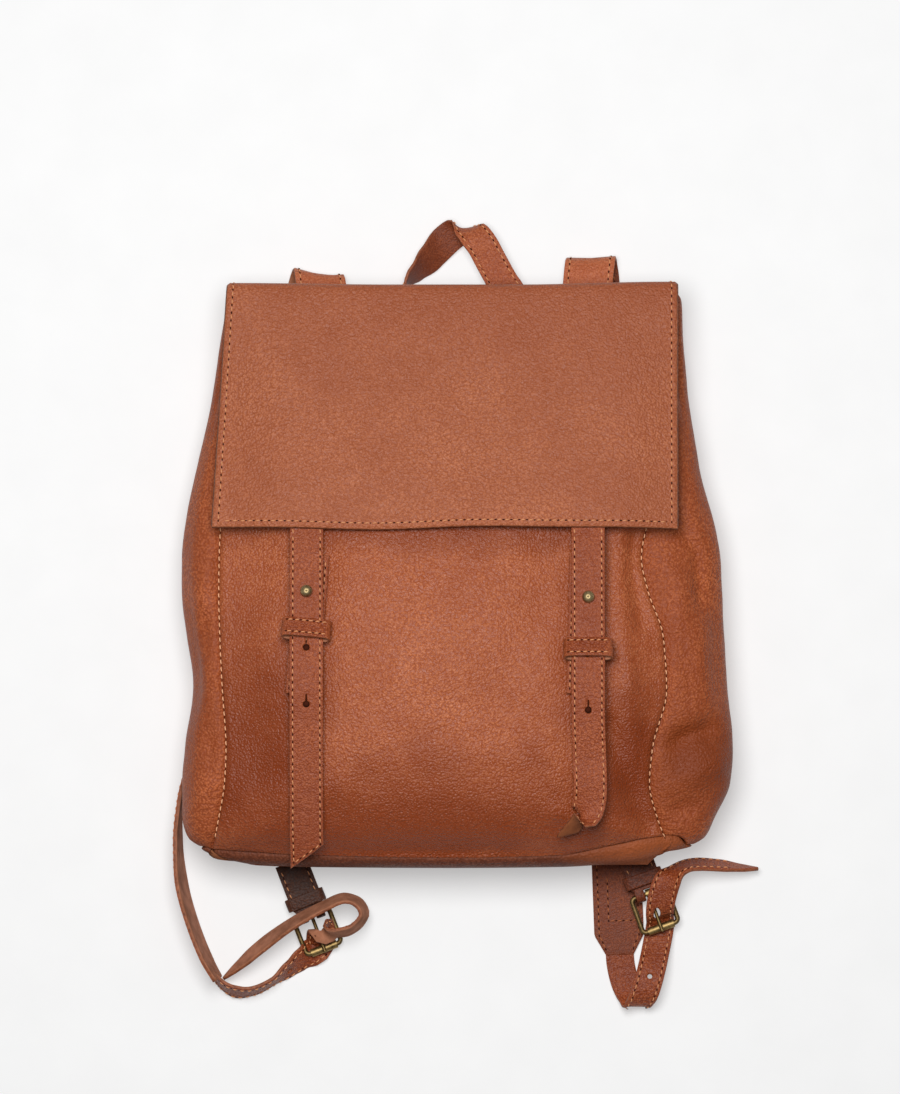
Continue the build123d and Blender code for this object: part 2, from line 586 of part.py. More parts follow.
def adjuster_strap_left():
    """On edge round the lower left turn, flat under the roller, then on edge again in a loop
    over the chape and away to the lower left."""
    w = ADJUSTER_WIDTH
    edge = w / 2 + 0.6
    loop_z = 21.2
    up = (0.0, 0.0, 1.0)
    strap = ribbon([
        ((-146.4, -412.2, edge + 0.2), (0.17, 0.0, -0.98), w),
        ((-139.6, -424.0, edge), (0.05, 0.1, -1.0), w),
        ((-128.0, -429.0, edge), (0.0, -0.2, -0.96), w),
        ((-114.0, -425.0, edge - 0.6), (0.1, -0.35, -0.9), w),
        ((-100.0, -417.5, 7.0), (0.4, -0.6, -0.65), w),
        ((-88.5, -412.0, 3.9), (0.8, -0.45, -0.3), w),
        ((-80.8, -407.2, 2.4), (0.93, 0.1, 0.0), w),
        ((-78.6, -400.8, 2.2), (0.933, 0.36, 0.0), w),
        ((-81.4, -393.0, 6.4), (0.93, 0.34, 0.1), w),
        ((-80.2, -387.2, 15.5), (0.8, 0.05, 0.45), w),
        ((-72.5, -385.5, 19.8), (0.2, -0.1, 1.0), w),
        ((-63.5, -385.0, loop_z), up, w),
        ((-58.4, -378.5, loop_z), up, w),
        ((-61.2, -371.4, loop_z), up, w),
        ((-70.0, -369.8, loop_z), up, w),
        ((-84.6, -376.5, loop_z), up, w),
        ((-98.0, -387.0, 18.6), up, w),
        ((-115.0, -400.5, 13.4), up, w),
        ((-126.5, -409.5, 10.4), up, 0.8 * w),
        ((-136.0, -417.0, 8.4), up, 1.5),
    ], LEATHER)
    return strap - prong_slot("left")


# ---- Write every piece ----------------------------------------------------------------------
save("front_panel", front_panel())
save("back_panel", back_panel())
save("base_panel", base_panel())
save("flap_rear_seam", flap_rear_seam())
save("flap_top_band", flap_top_band())
save("flap", flap())
save("grab_handle", grab_handle())
save("shoulder_strap_left", shoulder_strap_left())
save("shoulder_strap_right", shoulder_strap_right())
save("adjuster_strap_left", adjuster_strap_left())
save("adjuster_strap_right", adjuster_strap_right())
for side_name in ("left", "right"):
    save(f"gusset_{side_name}", gusset(side_name))
    save(f"closure_strap_{side_name}", closure_strap(side_name))
    save(f"closure_sewn_end_{side_name}", closure_sewn_end(side_name))
    save(f"keeper_{side_name}", keeper(side_name))
    save(f"backing_strip_{side_name}", backing_strip(side_name))
    save(f"stud_{side_name}", stud(side_name))
    save(f"stud_screw_{side_name}", stud_screw(side_name))
    save(f"handle_end_{side_name}", flat_end(HANDLE_ENDS[side_name], HANDLE_WIDTH, LEATHER))
    save(f"chape_{side_name}", chape(side_name))
    save(f"chape_keeper_{side_name}", chape_keeper(side_name))
    save(f"buckle_frame_{side_name}", buckle_frame(side_name))
    save(f"prong_{side_name}", prong(side_name))
    save(f"roller_{side_name}", roller(side_name))
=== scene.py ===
import math

import bmesh
import bpy
import numpy as np
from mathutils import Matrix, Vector, geometry, noise
from mathutils.bvhtree import BVHTree


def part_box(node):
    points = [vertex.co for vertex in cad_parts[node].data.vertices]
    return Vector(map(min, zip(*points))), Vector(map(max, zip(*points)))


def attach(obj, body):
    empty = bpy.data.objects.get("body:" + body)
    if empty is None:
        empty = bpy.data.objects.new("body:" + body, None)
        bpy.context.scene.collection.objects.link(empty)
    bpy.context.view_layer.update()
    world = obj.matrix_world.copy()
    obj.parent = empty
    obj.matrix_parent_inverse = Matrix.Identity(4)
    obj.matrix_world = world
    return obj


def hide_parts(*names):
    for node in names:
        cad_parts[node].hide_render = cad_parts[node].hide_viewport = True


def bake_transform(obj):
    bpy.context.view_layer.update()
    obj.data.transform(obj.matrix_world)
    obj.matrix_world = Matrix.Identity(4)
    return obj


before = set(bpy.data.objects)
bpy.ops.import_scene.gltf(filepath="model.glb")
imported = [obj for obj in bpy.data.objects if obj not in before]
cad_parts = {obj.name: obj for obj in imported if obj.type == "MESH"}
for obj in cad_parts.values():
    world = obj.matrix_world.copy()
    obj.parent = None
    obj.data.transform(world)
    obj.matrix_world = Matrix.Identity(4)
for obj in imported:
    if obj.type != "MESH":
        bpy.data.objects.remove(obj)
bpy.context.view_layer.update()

# Looks of a leather backpack that lies on its back. Lengths are in millimetres in "bag
# coordinates": X from the middle of the bag, Y from the fold of the flap (negative towards the
# base), Z up from the surface that it lies on. placed() turns them into the part's metres.
MM = 0.001
SIDES = ("left", "right")
CLOSURE_X = {"left": -88.0, "right": 80.0}


def centre_x(node):
    low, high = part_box(node)
    return (low.x + high.x) / 2


ORIGIN = np.array([centre_x("closure_strap_left") - CLOSURE_X["left"] * MM,
                   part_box("flap")[1].y + 0.2 * MM, 0.0])


def placed(points):
    """Bag millimetres as metres in the part's frame."""
    return np.asarray(points, float) * MM + ORIGIN


# ---- Sizes ----
LEATHER = 2.2
STRAP_LEATHER = 2.5
CLOSURE_WIDTH = 20.0
SHOULDER_WIDTH = 30.0
ADJUSTER_WIDTH = 17.0
HANDLE_WIDTH = 19.0
CHAPE_WIDTH = 20.0
FLAP_LENGTH = 146.0
MOUTH_Y, RIM_Y, BASE_Y = -9.0, -338.0, -350.5
BACK_LEFT, BACK_RIGHT = -132.0, 128.0
STITCH_PITCH = 4.4
STITCH_LENGTH = 2.7
STITCH_RADIUS = 0.36
STRAP_STITCH_INSET = 1.9

# The bag's cross-sections, one row each: Y and the columns named below. The seams are those
# between the front panel and the gussets; UNDER_Z is the back panel's underside.
ROWS = [
    (-9, -137.0, -131.0, 127.0, 137.6, 43.0, 47.0, 25.0, 10.5),
    (-35, -141.5, -133.0, 126.0, 138.5, 46.5, 52.0, 28.0, 8.4),
    (-70, -146.5, -135.0, 125.0, 142.0, 51.0, 59.5, 31.0, 5.4),
    (-105, -154.5, -137.0, 122.5, 147.0, 55.5, 67.0, 33.0, 3.2),
    (-140, -162.0, -140.3, 117.5, 156.0, 60.0, 72.8, 34.5, 3.0),
    (-165, -165.0, -141.5, 113.0, 161.0, 63.0, 77.0, 35.5, 3.0),
    (-185, -164.5, -141.7, 117.0, 162.3, 65.5, 80.4, 36.5, 3.0),
    (-212, -162.0, -141.0, 126.0, 163.8, 68.0, 84.4, 37.5, 3.0),
    (-244, -158.6, -139.4, 128.0, 165.6, 69.5, 87.0, 38.0, 3.0),
    (-279, -162.0, -137.2, 119.5, 168.5, 68.5, 86.4, 38.0, 3.0),
    (-300, -164.0, -138.2, 117.8, 166.5, 67.0, 83.6, 38.0, 3.0),
    (-322, -163.5, -142.0, 123.0, 156.5, 62.5, 77.0, 37.0, 3.0),
    (-332, -160.6, -144.0, 127.0, 151.6, 58.5, 71.6, 36.4, 3.0),
    (-338, -155.0, -145.4, 129.4, 144.6, 55.0, 67.0, 35.6, 3.0),
    (-342, -148.4, -146.4, 131.0, 138.0, 52.0, 64.0, 35.0, 3.0),
]
LEFT_X, LEFT_SEAM_X, RIGHT_SEAM_X, RIGHT_X, SEAM_Z, MIDDLE_Z, SIDE_Z, UNDER_Z = range(1, 9)
EDGE_X = {"left": (LEFT_SEAM_X, LEFT_X), "right": (RIGHT_SEAM_X, RIGHT_X)}


# ---- Curves through given values ----
def eased(keys, values, at):
    """A smooth curve through values that never overshoots them."""
    keys, values = np.asarray(keys, float), np.asarray(values, float)
    if keys[0] > keys[-1]:
        keys, values = keys[::-1], values[::-1]
    step = np.diff(keys)
    slope = np.diff(values) / step
    tangent = np.concatenate([slope[:1], np.zeros(len(keys) - 2), slope[-1:]])
    for i in range(1, len(keys) - 1):
        if slope[i - 1] * slope[i] > 0:
            tangent[i] = 2 * slope[i - 1] * slope[i] / (slope[i - 1] + slope[i])
    at = np.clip(np.asarray(at, float), keys[0], keys[-1])
    i = np.clip(np.searchsorted(keys, at) - 1, 0, len(step) - 1)
    h = step[i]
    t = (at - keys[i]) / h
    return ((1 + 2 * t) * (1 - t) ** 2 * values[i] + t * (1 - t) ** 2 * h * tangent[i]
            + t * t * (3 - 2 * t) * values[i + 1] + t * t * (t - 1) * h * tangent[i + 1])


def column(index, y):
    """A column of ROWS as a smooth function of Y."""
    return eased([row[0] for row in ROWS], [row[index] for row in ROWS], y)


def smoothstep(low, high, value):
    t = np.clip((np.asarray(value, float) - low) / (high - low), 0, 1)
    return t * t * (3 - 2 * t)


def bell(distance, width):
    return np.exp(-(np.asarray(distance) / width) ** 2)


def unit(vectors):
    return vectors / np.maximum(np.linalg.norm(vectors, axis=-1, keepdims=True), 1e-9)


def folded(x, y, folds):
    """Height of soft folds, each a polyline with the width and the height of its bell."""
    total = np.zeros(np.shape(x))
    for points, width, height in folds:
        best = np.full(np.shape(x), 1e9)
        for (ax, ay), (bx, by) in zip(points, points[1:]):
            dx, dy = bx - ax, by - ay
            t = np.clip(((x - ax) * dx + (y - ay) * dy) / (dx * dx + dy * dy), 0, 1)
            best = np.minimum(best, np.hypot(x - ax - t * dx, y - ay - t * dy))
        total = total + height * bell(best, width)
    return total


def soft_noise(x, y, z, size, seed):
    """Smooth noise from -1 to 1 over arrays of places."""
    flat = np.stack([np.ravel(x), np.ravel(y), np.ravel(z)], 1) / size + seed * 17.3
    return np.array([noise.noise(Vector(p)) for p in flat]).reshape(np.shape(x))


# ---- Materials ----
def linear(colour):
    """The linear colour for 8-bit sRGB values."""
    def channel(value):
        value /= 255
        return value / 12.92 if value <= 0.04045 else ((value + 0.055) / 1.055) ** 2.4
    return (*map(channel, colour), 1.0)


class Nodes:
    """Short calls for building a node material. Sizes are in millimetres."""

    def __init__(self, name):
        self.material = bpy.data.materials.new(name)
        self.material.use_nodes = True
        self.tree = self.material.node_tree
        self.shader = self.tree.nodes["Principled BSDF"]
        self.place = self.scaled(self.add("ShaderNodeTexCoord").outputs["Object"], 1 / MM)

    def add(self, kind, inputs=None, **settings):
        """A node with its settings made and its inputs set or linked."""
        node = self.tree.nodes.new(kind)
        for key, value in settings.items():
            setattr(node, key, value)
        for key, value in (inputs or {}).items():
            self.link(value, node.inputs[key])
        return node

    def link(self, output, target):
        if hasattr(output, "is_linked"):
            self.tree.links.new(output, target)
        else:
            target.default_value = output

    def vector(self, operation, a, b):
        return self.add("ShaderNodeVectorMath", {0: a, 1: b}, operation=operation).outputs[0]

    def scaled(self, place, factor):
        return self.add("ShaderNodeVectorMath", {0: place, "Scale": factor}, operation="SCALE").outputs[0]

    def stretched(self, amounts):
        return self.vector("MULTIPLY", self.place, amounts)

    def noise(self, size, detail=3.0, roughness=0.55, place=None, warp=0.0):
        """Noise with features of about the given size."""
        return self.add("ShaderNodeTexNoise", {
            "Vector": place or self.place, "Scale": 1 / size, "Detail": detail,
            "Roughness": roughness, "Distortion": warp}).outputs[0]

    def cells(self, size, place):
        return self.add("ShaderNodeTexVoronoi", {
            "Vector": place, "Scale": 1 / size, "Smoothness": 0.6, "Randomness": 1.0},
            feature="SMOOTH_F1").outputs["Distance"]

    def ranged(self, value, low, high, to_low, to_high):
        return self.add("ShaderNodeMapRange", {
            "From Min": low, "From Max": high, "To Min": to_low, "To Max": to_high,
            "Value": value}).outputs[0]

    def maths(self, operation, a, b):
        return self.add("ShaderNodeMath", {0: a, 1: b}, operation=operation).outputs[0]

    def mixed(self, amount, a, b):
        return self.add("ShaderNodeMix", {"Factor": amount, "A": a, "B": b},
                        data_type="RGBA").outputs["Result"]

    def pointed(self, low, high, to_low, to_high):
        """A value that grows on outer edges and high places."""
        pointiness = self.add("ShaderNodeNewGeometry").outputs["Pointiness"]
        return self.ranged(pointiness, low, high, to_low, to_high)

    def bump(self, height, strength, distance, under=None):
        """A normal with bumps, over the bumps of another normal if one is given."""
        inputs = {"Strength": strength, "Distance": distance * MM, "Height": height}
        if under is not None:
            inputs["Normal"] = under
        return self.add("ShaderNodeBump", inputs).outputs[0]

    def done(self, colour, roughness, normal=None, metallic=0.0, specular=0.5):
        inputs = {"Base Color": colour, "Roughness": roughness, "Metallic": metallic,
                  "Specular IOR Level": specular}
        if normal is not None:
            inputs["Normal"] = normal
        for key, value in inputs.items():
            self.link(value, self.shader.inputs[key])
        return self.material


def painted_shading(n, shade, dark, shading_spots):
    """Painted shading: soft, noise-edged patches where the colour blends towards the given colour; each
    is (x, y, half width, half length, amount) in bag millimetres.
    """
    stray = n.noise(30, detail=2)
    for x, y, half_width, half_length, amount in shading_spots:
        offset = n.vector("SUBTRACT", n.place, tuple(placed((x, y, 0)) / MM))
        share = n.vector("MULTIPLY", offset, (1 / half_width, 1 / half_length, 0))
        length = n.add("ShaderNodeVectorMath", {0: share}, operation="LENGTH").outputs["Value"]
        uneven = n.maths("ADD", length, n.ranged(stray, 0.3, 0.7, -0.25, 0.25))
        shade = n.mixed(n.ranged(uneven, 0.35, 1.35, amount, 0.0), shade, dark)
    return shade


def grain_leather(name, colour, dark, light, pebble=1.1, depth=0.5, shine=0.42, wrinkle=0.8,
                  shading_colour=None, shading_spots=(), specular=0.32):
    """Pebbled full-grain leather: mottled colour, creased grain, soft wrinkles, worn highlights.
    pebble and depth are the grain's size and height; the optional patches are painted shading, blended to
    the colour given for them."""
    n = Nodes(name)
    colour, dark, light = linear(colour), linear(dark), linear(light)
    wide = n.noise(46, detail=3, warp=0.4)
    fine = n.noise(5.5, detail=6, roughness=0.65)
    jitter = n.add("ShaderNodeTexNoise", {"Vector": n.place, "Scale": 1 / 2.2}).outputs["Color"]
    pebbles = n.cells(pebble, n.vector("ADD", n.place, n.scaled(jitter, 1.6)))
    folds = n.noise(3.4, detail=4, roughness=0.6, place=n.stretched((0.55, 1.5, 1.2)), warp=1.2)
    shade = n.mixed(n.ranged(wide, 0.32, 0.68, 0, 1), dark, colour)
    shade = n.mixed(n.ranged(fine, 0.35, 0.75, 0, 0.55), shade, light)
    # The valleys between the pebbles are darker: partly the grain's own colour, partly painted shade in
    # the creases.
    shade = n.mixed(n.ranged(pebbles, 0.28, 0.62, 0, 0.95), shade, dark)
    shade = n.mixed(n.pointed(0.52, 0.6, 0, 0.45), shade, light)
    # Painted shade and light, in patches.
    if shading_spots:
        shade = painted_shading(n, shade, linear(shading_colour), shading_spots)
    wrinkled = n.bump(folds, wrinkle, 0.7)
    grained = n.bump(n.maths("SUBTRACT", 1.0, pebbles), 1.0, depth, wrinkled)
    pores = n.bump(n.noise(0.6, detail=2), 0.5, 0.1, grained)
    return n.done(shade, n.ranged(fine, 0.3, 0.7, shine, shine + 0.12), pores, specular=specular)


def flesh_leather(name, colour, dark):
    """The back of the hide: matt, fibrous, without grain."""
    n = Nodes(name)
    colour, dark = linear(colour), linear(dark)
    fibres = n.noise(0.9, detail=6, roughness=0.75, warp=1.5)
    patches = n.noise(9, detail=4)
    shade = n.mixed(n.ranged(patches, 0.35, 0.65, 0, 1), dark, colour)
    shade = n.mixed(n.ranged(fibres, 0.45, 0.75, 0, 0.4), shade, colour)
    return n.done(shade, 0.88, n.bump(fibres, 0.7, 0.18), specular=0.2)


def cut_edge(name, colour, dark):
    """A cut and burnished edge."""
    n = Nodes(name)
    layers = n.noise(0.8, detail=4, place=n.stretched((0.3, 0.3, 1.0)))
    return n.done(n.mixed(n.ranged(layers, 0.3, 0.7, 0, 1), linear(dark), linear(colour)), 0.6,
                  n.bump(layers, 0.5, 0.12), specular=0.35)


def thread(name, colour, dark):
    """Waxed polyester thread with a visible twist."""
    n = Nodes(name)
    twist = n.add("ShaderNodeTexWave", {"Vector": n.place, "Scale": 0.9, "Distortion": 0.6},
                  bands_direction="DIAGONAL").outputs["Fac"]
    return n.done(n.mixed(n.ranged(twist, 0.2, 0.8, 0.35, 0), linear(colour), linear(dark)), 0.62,
                  n.bump(twist, 0.5, 0.1), specular=0.3)


def painted_hole_shade(name, colour):
    n = Nodes(name)
    # Near black: painted shade deep in the hole.
    depth = (0.02, 0.006, 0.003, 1)
    return n.done(n.mixed(n.ranged(n.noise(0.6), 0.3, 0.7, 0, 0.6), linear(colour), depth), 0.9,
                  specular=0.1)


def antique_brass(name, dark, light):
    """Dark patina with the brass rubbed bright on the high places."""
    n = Nodes(name)
    patches = n.noise(2.6, detail=5, roughness=0.7)
    specks = n.noise(0.5, detail=3)
    amount = n.maths("MULTIPLY", n.ranged(patches, 0.35, 0.62, 0.25, 1.0),
                     n.pointed(0.49, 0.58, 0.25, 1.0))
    return n.done(n.mixed(amount, linear(dark), linear(light)),
                  n.ranged(patches, 0.3, 0.7, 0.44, 0.6), n.bump(specks, 0.25, 0.06), metallic=1.0)


def floor_paper():
    """A bright light table: half of its white comes from below, so shadows stay faint."""
    n = Nodes("floor_paper")
    n.shader.inputs["Emission Color"].default_value = (1, 1, 1, 1)
    n.shader.inputs["Emission Strength"].default_value = 0.435
    mottled = n.mixed(n.ranged(n.noise(40), 0.3, 0.7, 0, 1), (0.46, 0.46, 0.46, 1), (0.48, 0.48, 0.48, 1))
    return n.done(mottled, 0.9, specular=0.1)


# Colours are the hide's own, then its darkest and its lightest places; the chapes' colours also hold
# painted shade.
# The flap's patch is painted shade over its upper part near the fold.
FLAP = grain_leather("flap_grain", (175, 101, 64), (148, 76, 43), (190, 115, 79), pebble=1.25, depth=0.64,
                     wrinkle=0.5, shading_colour=(144, 72, 40), shading_spots=((50, -6, 150, 60, 0.6),))
# The front's patches are painted shade where the panel curves down at the left, along the bottom and by
# the right seam, a painted shadow under the flap's lower edge, and painted shadows along both closure
# straps.
FRONT = grain_leather("front_grain", (181, 100, 58), (148, 70, 34), (194, 117, 74), pebble=1.25,
                      depth=0.6, shine=0.36, wrinkle=0.5, shading_colour=(124, 50, 12),
                      shading_spots=((-124, -274, 44, 72, 0.88), (-32, -332, 150, 50, 0.8),
                             (106, -284, 30, 52, 1.0), (-10, -143, 170, 17, 0.9),
                             (79, -230, 16, 100, 0.65), (-88, -215, 15, 100, 0.6)))
# The gusset's patch is painted shade in its low fold on the right.
GUSSET = grain_leather("gusset_grain", (178, 93, 49), (138, 63, 28), (194, 110, 66), pebble=1.4,
                       depth=0.6, shine=0.44, wrinkle=0.9, specular=0.24, shading_colour=(124, 54, 18),
                       shading_spots=((146, -286, 30, 26, 1.0),))
STRAP = grain_leather("strap_grain", (162, 82, 43), (131, 58, 27), (182, 104, 67), depth=0.55)
SHOULDER = grain_leather("shoulder_grain", (182, 100, 60), (160, 80, 44), (196, 120, 82))
HANDLE_GRAIN = grain_leather("handle_grain", (168, 88, 48), (142, 66, 32), (186, 108, 70))
DEEP_STRAP = grain_leather("deep_strap_grain", (156, 76, 36), (120, 50, 20), (176, 98, 58),
                           pebble=1.2, depth=0.55, shine=0.4, wrinkle=0.7)
# Both chapes are darkened as painted shadow of the bag's lower end, the left one most.
SHADED_CHAPES = {
    "right": grain_leather("chape_grain", (110, 48, 19), (80, 32, 11), (136, 68, 34),
                           pebble=1.2, depth=0.35, shine=0.5, wrinkle=0.5),
    "left": grain_leather("shadow_darkened_chape_grain", (78, 37, 17), (54, 25, 11), (104, 58, 32),
                          pebble=1.2, depth=0.35, shine=0.5, wrinkle=0.5),
}
LINED = grain_leather("strap_lining_grain", (136, 66, 32), (102, 44, 19), (156, 84, 48),
                      pebble=0.9, depth=0.3, shine=0.5, wrinkle=0.4)
FLESH = flesh_leather("flesh_side", (174, 116, 88), (134, 84, 58))
DARK_FLESH = flesh_leather("dark_flesh", (146, 78, 43), (112, 56, 27))
# The base's patch is painted light: a lighter area at its right end.
BASE = grain_leather("base_grain", (115, 58, 35), (88, 41, 22), (136, 79, 54), pebble=1.5, shine=0.5,
                     wrinkle=0.5, specular=0.2, shading_colour=(158, 82, 42), shading_spots=((116, -342, 46, 16, 0.8),))
LINING = flesh_leather("lining", (136, 84, 54), (118, 68, 42))
STRAP_BACK = flesh_leather("strap_back", (140, 80, 46), (112, 60, 32))
EDGE = cut_edge("cut_edge", (158, 94, 62), (98, 50, 27))
THREAD = thread("thread", (214, 150, 104), (184, 112, 70))
PALE_THREAD = thread("pale_thread", (238, 180, 138), (206, 140, 98))
FADED_THREAD = thread("faded_thread", (176, 104, 62), (132, 70, 38))
# Painted shade of the needle holes and keyholes.
HOLE_SHADE = painted_hole_shade("painted_hole_shade", (74, 30, 14))
BRASS = antique_brass("antique_brass", (70, 54, 32), (172, 146, 96))
STUD_BRASS = antique_brass("stud_brass", (112, 92, 60), (216, 194, 146))


# ---- Mesh helpers ----
def add_object(name, data):
    piece = bpy.data.objects.new(name, data)
    bpy.context.scene.collection.objects.link(piece)
    return piece


def mesh_object(name, points, faces, materials, face_materials=None, weld=False):
    """A closed mesh object from points in bag millimetres, with every face turned outward."""
    mesh = bpy.data.meshes.new(name)
    mesh.from_pydata([tuple(p) for p in placed(points)], [], [tuple(int(i) for i in f) for f in faces])
    for material in materials:
        mesh.materials.append(material)
    if face_materials is not None:
        mesh.polygons.foreach_set("material_index", np.asarray(face_materials, np.int32))
    mesh.polygons.foreach_set("use_smooth", np.full(len(mesh.polygons), True))
    mesh.validate()
    work = bmesh.new()
    work.from_mesh(mesh)
    bmesh.ops.delete(work, geom=[v for v in work.verts if not v.link_faces], context="VERTS")
    if weld:
        bmesh.ops.remove_doubles(work, verts=work.verts, dist=0.02 * MM)
    bmesh.ops.recalc_face_normals(work, faces=work.faces)
    work.to_mesh(mesh)
    work.free()
    return add_object(name, mesh)


def two_sided(name, top, bottom, faces, walls, grain, back, weld):
    """A sheet from the points of both its sides, the top's faces, and the walls along its edges."""
    count = len(top)
    under = [[i + count for i in face[::-1]] for face in faces]
    kinds = [0] * len(faces) + [1] * len(under) + [2] * len(walls)
    return mesh_object(name, np.concatenate([top, bottom]), [*faces, *under, *walls], [grain, back, EDGE],
                       kinds, weld)


def grid_normals(points):
    """Unit normals of a grid of points."""
    return unit(np.cross(np.gradient(points, axis=0), np.gradient(points, axis=1)))


def sheet_side(grid, direction):
    """1 or -1: which way along the grid's normals the given direction lies."""
    return 1.0 if (grid_normals(grid) * np.array(direction, float)).sum(-1).mean() > 0 else -1.0


def leather_sheet(name, outer, grain, inside, bevel=0.0, weld=False):
    """A sheet of leather below a grid of outer points, with rounded cut edges.
    inside is a direction out of the sheet's flesh side."""
    rows, columns = outer.shape[:2]
    inward = sheet_side(outer, inside)
    normal = grid_normals(outer) * inward
    round_off = 0.32 * LEATHER * (1 - smoothstep(0, 1.0, edge_distance(outer)))
    top = outer + normal * round_off[..., None]
    bottom = outer + normal * (LEATHER - round_off)[..., None] + outward_shift(outer) * bevel
    count = rows * columns
    index = np.arange(count).reshape(rows, columns)
    faces = np.stack([index[:-1, :-1], index[:-1, 1:], index[1:, 1:], index[1:, :-1]], -1).reshape(-1, 4)
    ring = np.concatenate([index[0], index[1:, -1], index[-1, -2::-1], index[-2:0:-1, 0]])
    after = np.roll(ring, -1)
    walls = np.stack([ring, after, after + count, ring + count], 1)
    if inward < 0:
        faces, walls = faces[:, ::-1], walls[:, ::-1]
    return two_sided(name, top.reshape(-1, 3), bottom.reshape(-1, 3), faces, walls, grain, LINING, weld)


def outward_shift(grid):
    """Unit steps out of the sheet at its border, zero inside."""
    shift = np.zeros_like(grid)
    shift[0] += grid[0] - grid[1]
    shift[-1] += grid[-1] - grid[-2]
    shift[:, 0] += grid[:, 0] - grid[:, 1]
    shift[:, -1] += grid[:, -1] - grid[:, -2]
    return shift / np.maximum(np.linalg.norm(shift, axis=2, keepdims=True), 0.05)


def edge_distance(grid):
    """Distance of each grid point from the grid's nearest border, along the grid."""
    def running(axis):
        step = np.linalg.norm(np.diff(grid, axis=axis), axis=2)
        zero = np.zeros_like(np.take(step, [0], axis=axis))
        length = np.cumsum(np.concatenate([zero, step], axis=axis), axis=axis)
        return np.minimum(length, np.take(length, [-1], axis=axis) - length)
    return np.minimum(running(0), running(1))


def with_margins(count, length):
    """Positions from 0 to 1 with extra ones close to both ends of a length in millimetres."""
    near = [0.35 / length, 1.0 / length]
    inner = np.linspace(0, 1, count)
    inner = inner[(inner > near[-1] * 1.5) & (inner < 1 - near[-1] * 1.5)]
    return np.array([0.0, *near, *inner, *[1 - n for n in reversed(near)], 1.0])


def around(sides):
    """The angles of a ring of points."""
    return [2 * math.pi * k / sides for k in range(sides)]


def tube_faces(rings, sides):
    """Faces around a row of rings of points, and over both ends."""
    faces = []
    for i in range(rings - 1):
        for k in range(sides):
            a, b = i * sides + k, i * sides + (k + 1) % sides
            faces.append((a, b, b + sides, a + sides))
    return faces + [tuple(range(sides))[::-1], tuple(range((rings - 1) * sides, rings * sides))]


class CadSurface:
    """Heights of a CAD node, so that soft pieces lie where the frame says."""

    def __init__(self, node):
        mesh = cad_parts[node].data
        self.tree = BVHTree.FromPolygons([v.co for v in mesh.vertices],
                                         [p.vertices for p in mesh.polygons])

    def top(self, x, y):
        start = Vector(placed([x, y, 1000]))
        return self.tree.ray_cast(start, Vector((0, 0, -1)))[0].z / MM


def finish_piece(piece, body, slot=None, *nodes):
    """Attach a piece to the empty of its body and hide the CAD nodes it stands for; slot is not used.
    A body of four names a blend of two bodies, with where the first one's hold ends and the second one's
    begins; such a piece only has its transform baked."""
    if isinstance(body, str):
        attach(piece, body)
    else:
        first, second, start, end = body
        tuple(placed(start))
        tuple(placed(end))
        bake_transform(piece)
    if nodes:
        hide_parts(*nodes)


# ---- Stitches ----
def capsule(length, radius, rings=5, sides=7):
    """Points and faces of a thread end to end along X, dipping into the leather at both ends."""
    points = []
    for t in np.linspace(-1, 1, rings):
        swell = math.sqrt(max(1 - 0.78 * t ** 4, 0.05))
        drop = -radius * 1.1 * t ** 4
        points += [(t * length / 2, math.cos(a) * radius * swell, math.sin(a) * radius * swell + drop)
                   for a in around(sides)]
    return np.array(points), tube_faces(rings, sides)


def dimple(length, width, sides=8):
    """A shallow oval pit that a thread runs into, given the painted shade of a hole."""
    points = [(0, 0, 0.05)]
    points += [(math.cos(a) * length / 2, math.sin(a) * width / 2, -0.02) for a in around(sides)]
    points.append((0, 0, -0.25))
    faces = [(0, 1 + k, 1 + (k + 1) % sides) for k in range(sides)]
    faces += [(1 + (k + 1) % sides, 1 + k, sides + 1) for k in range(sides)]
    return np.array(points), faces


def face_normal(surface, a, b, step=0.5):
    """Normal of a surface at its coordinates (a, b), not of unit length."""
    return np.cross(surface(a + step, b) - surface(a - step, b),
                    surface(a, b + step) - surface(a, b - step))


def walk(surface, track, pitch):
    """Places along a track of surface coordinates, one every pitch: point, direction, normal."""
    track = np.asarray(track, float)
    fine = np.concatenate([
        np.linspace(a, b, max(int(np.hypot(*(b - a)) / 0.8), 2))[:-1] for a, b in zip(track, track[1:])]
        + [track[-1:]])
    points = np.array([surface(a, b) for a, b in fine])
    length = np.concatenate([[0], np.cumsum(np.linalg.norm(np.diff(points, axis=0), axis=1))])
    count = max(int(length[-1] / pitch), 1)
    pitch = length[-1] / count

    def at(distance, table):
        return np.array([np.interp(distance, length, values) for values in table.T])
    for i in range(count):
        here = (i + 0.5) * pitch
        normal = unit(face_normal(surface, *at(here, fine)))
        along = unit(at(here + 0.4, points) - at(here - 0.4, points))
        yield at(here, points), along, normal, pitch


def sew(name, body, rows, pitch=STITCH_PITCH, up=1.0, length=STITCH_LENGTH, material=THREAD,
        hole_size=(1.7, 0.95)):
    """Thread and needle holes for rows of (surface, track), as one mesh. Each stitch slants a
    little; up is -1 where the surface's normal points into the leather."""
    slant = 0.14
    rope, rope_faces = capsule(length, STITCH_RADIUS)
    hole, hole_faces = dimple(*hole_size)
    points, faces, kinds, start = [], [], [], 0
    for surface, track in rows:
        for here, along, normal, step in walk(surface, track, pitch):
            normal = normal * up
            turned = along * math.cos(slant) + np.cross(normal, along) * math.sin(slant)
            axes = np.array([turned, np.cross(normal, turned), normal])
            for shape, shape_faces, kind, shift, lift in (
                    (rope, rope_faces, 0, 0.0, 0.2), (hole, hole_faces, 1, step / 2, 0.02)):
                points.append(shape @ axes + here + along * shift + normal * lift)
                faces += [tuple(i + start for i in face) for face in shape_faces]
                kinds += [kind] * len(shape_faces)
                start += len(shape)
    finish_piece(mesh_object(name, np.concatenate(points), faces, [material, HOLE_SHADE], kinds), body)


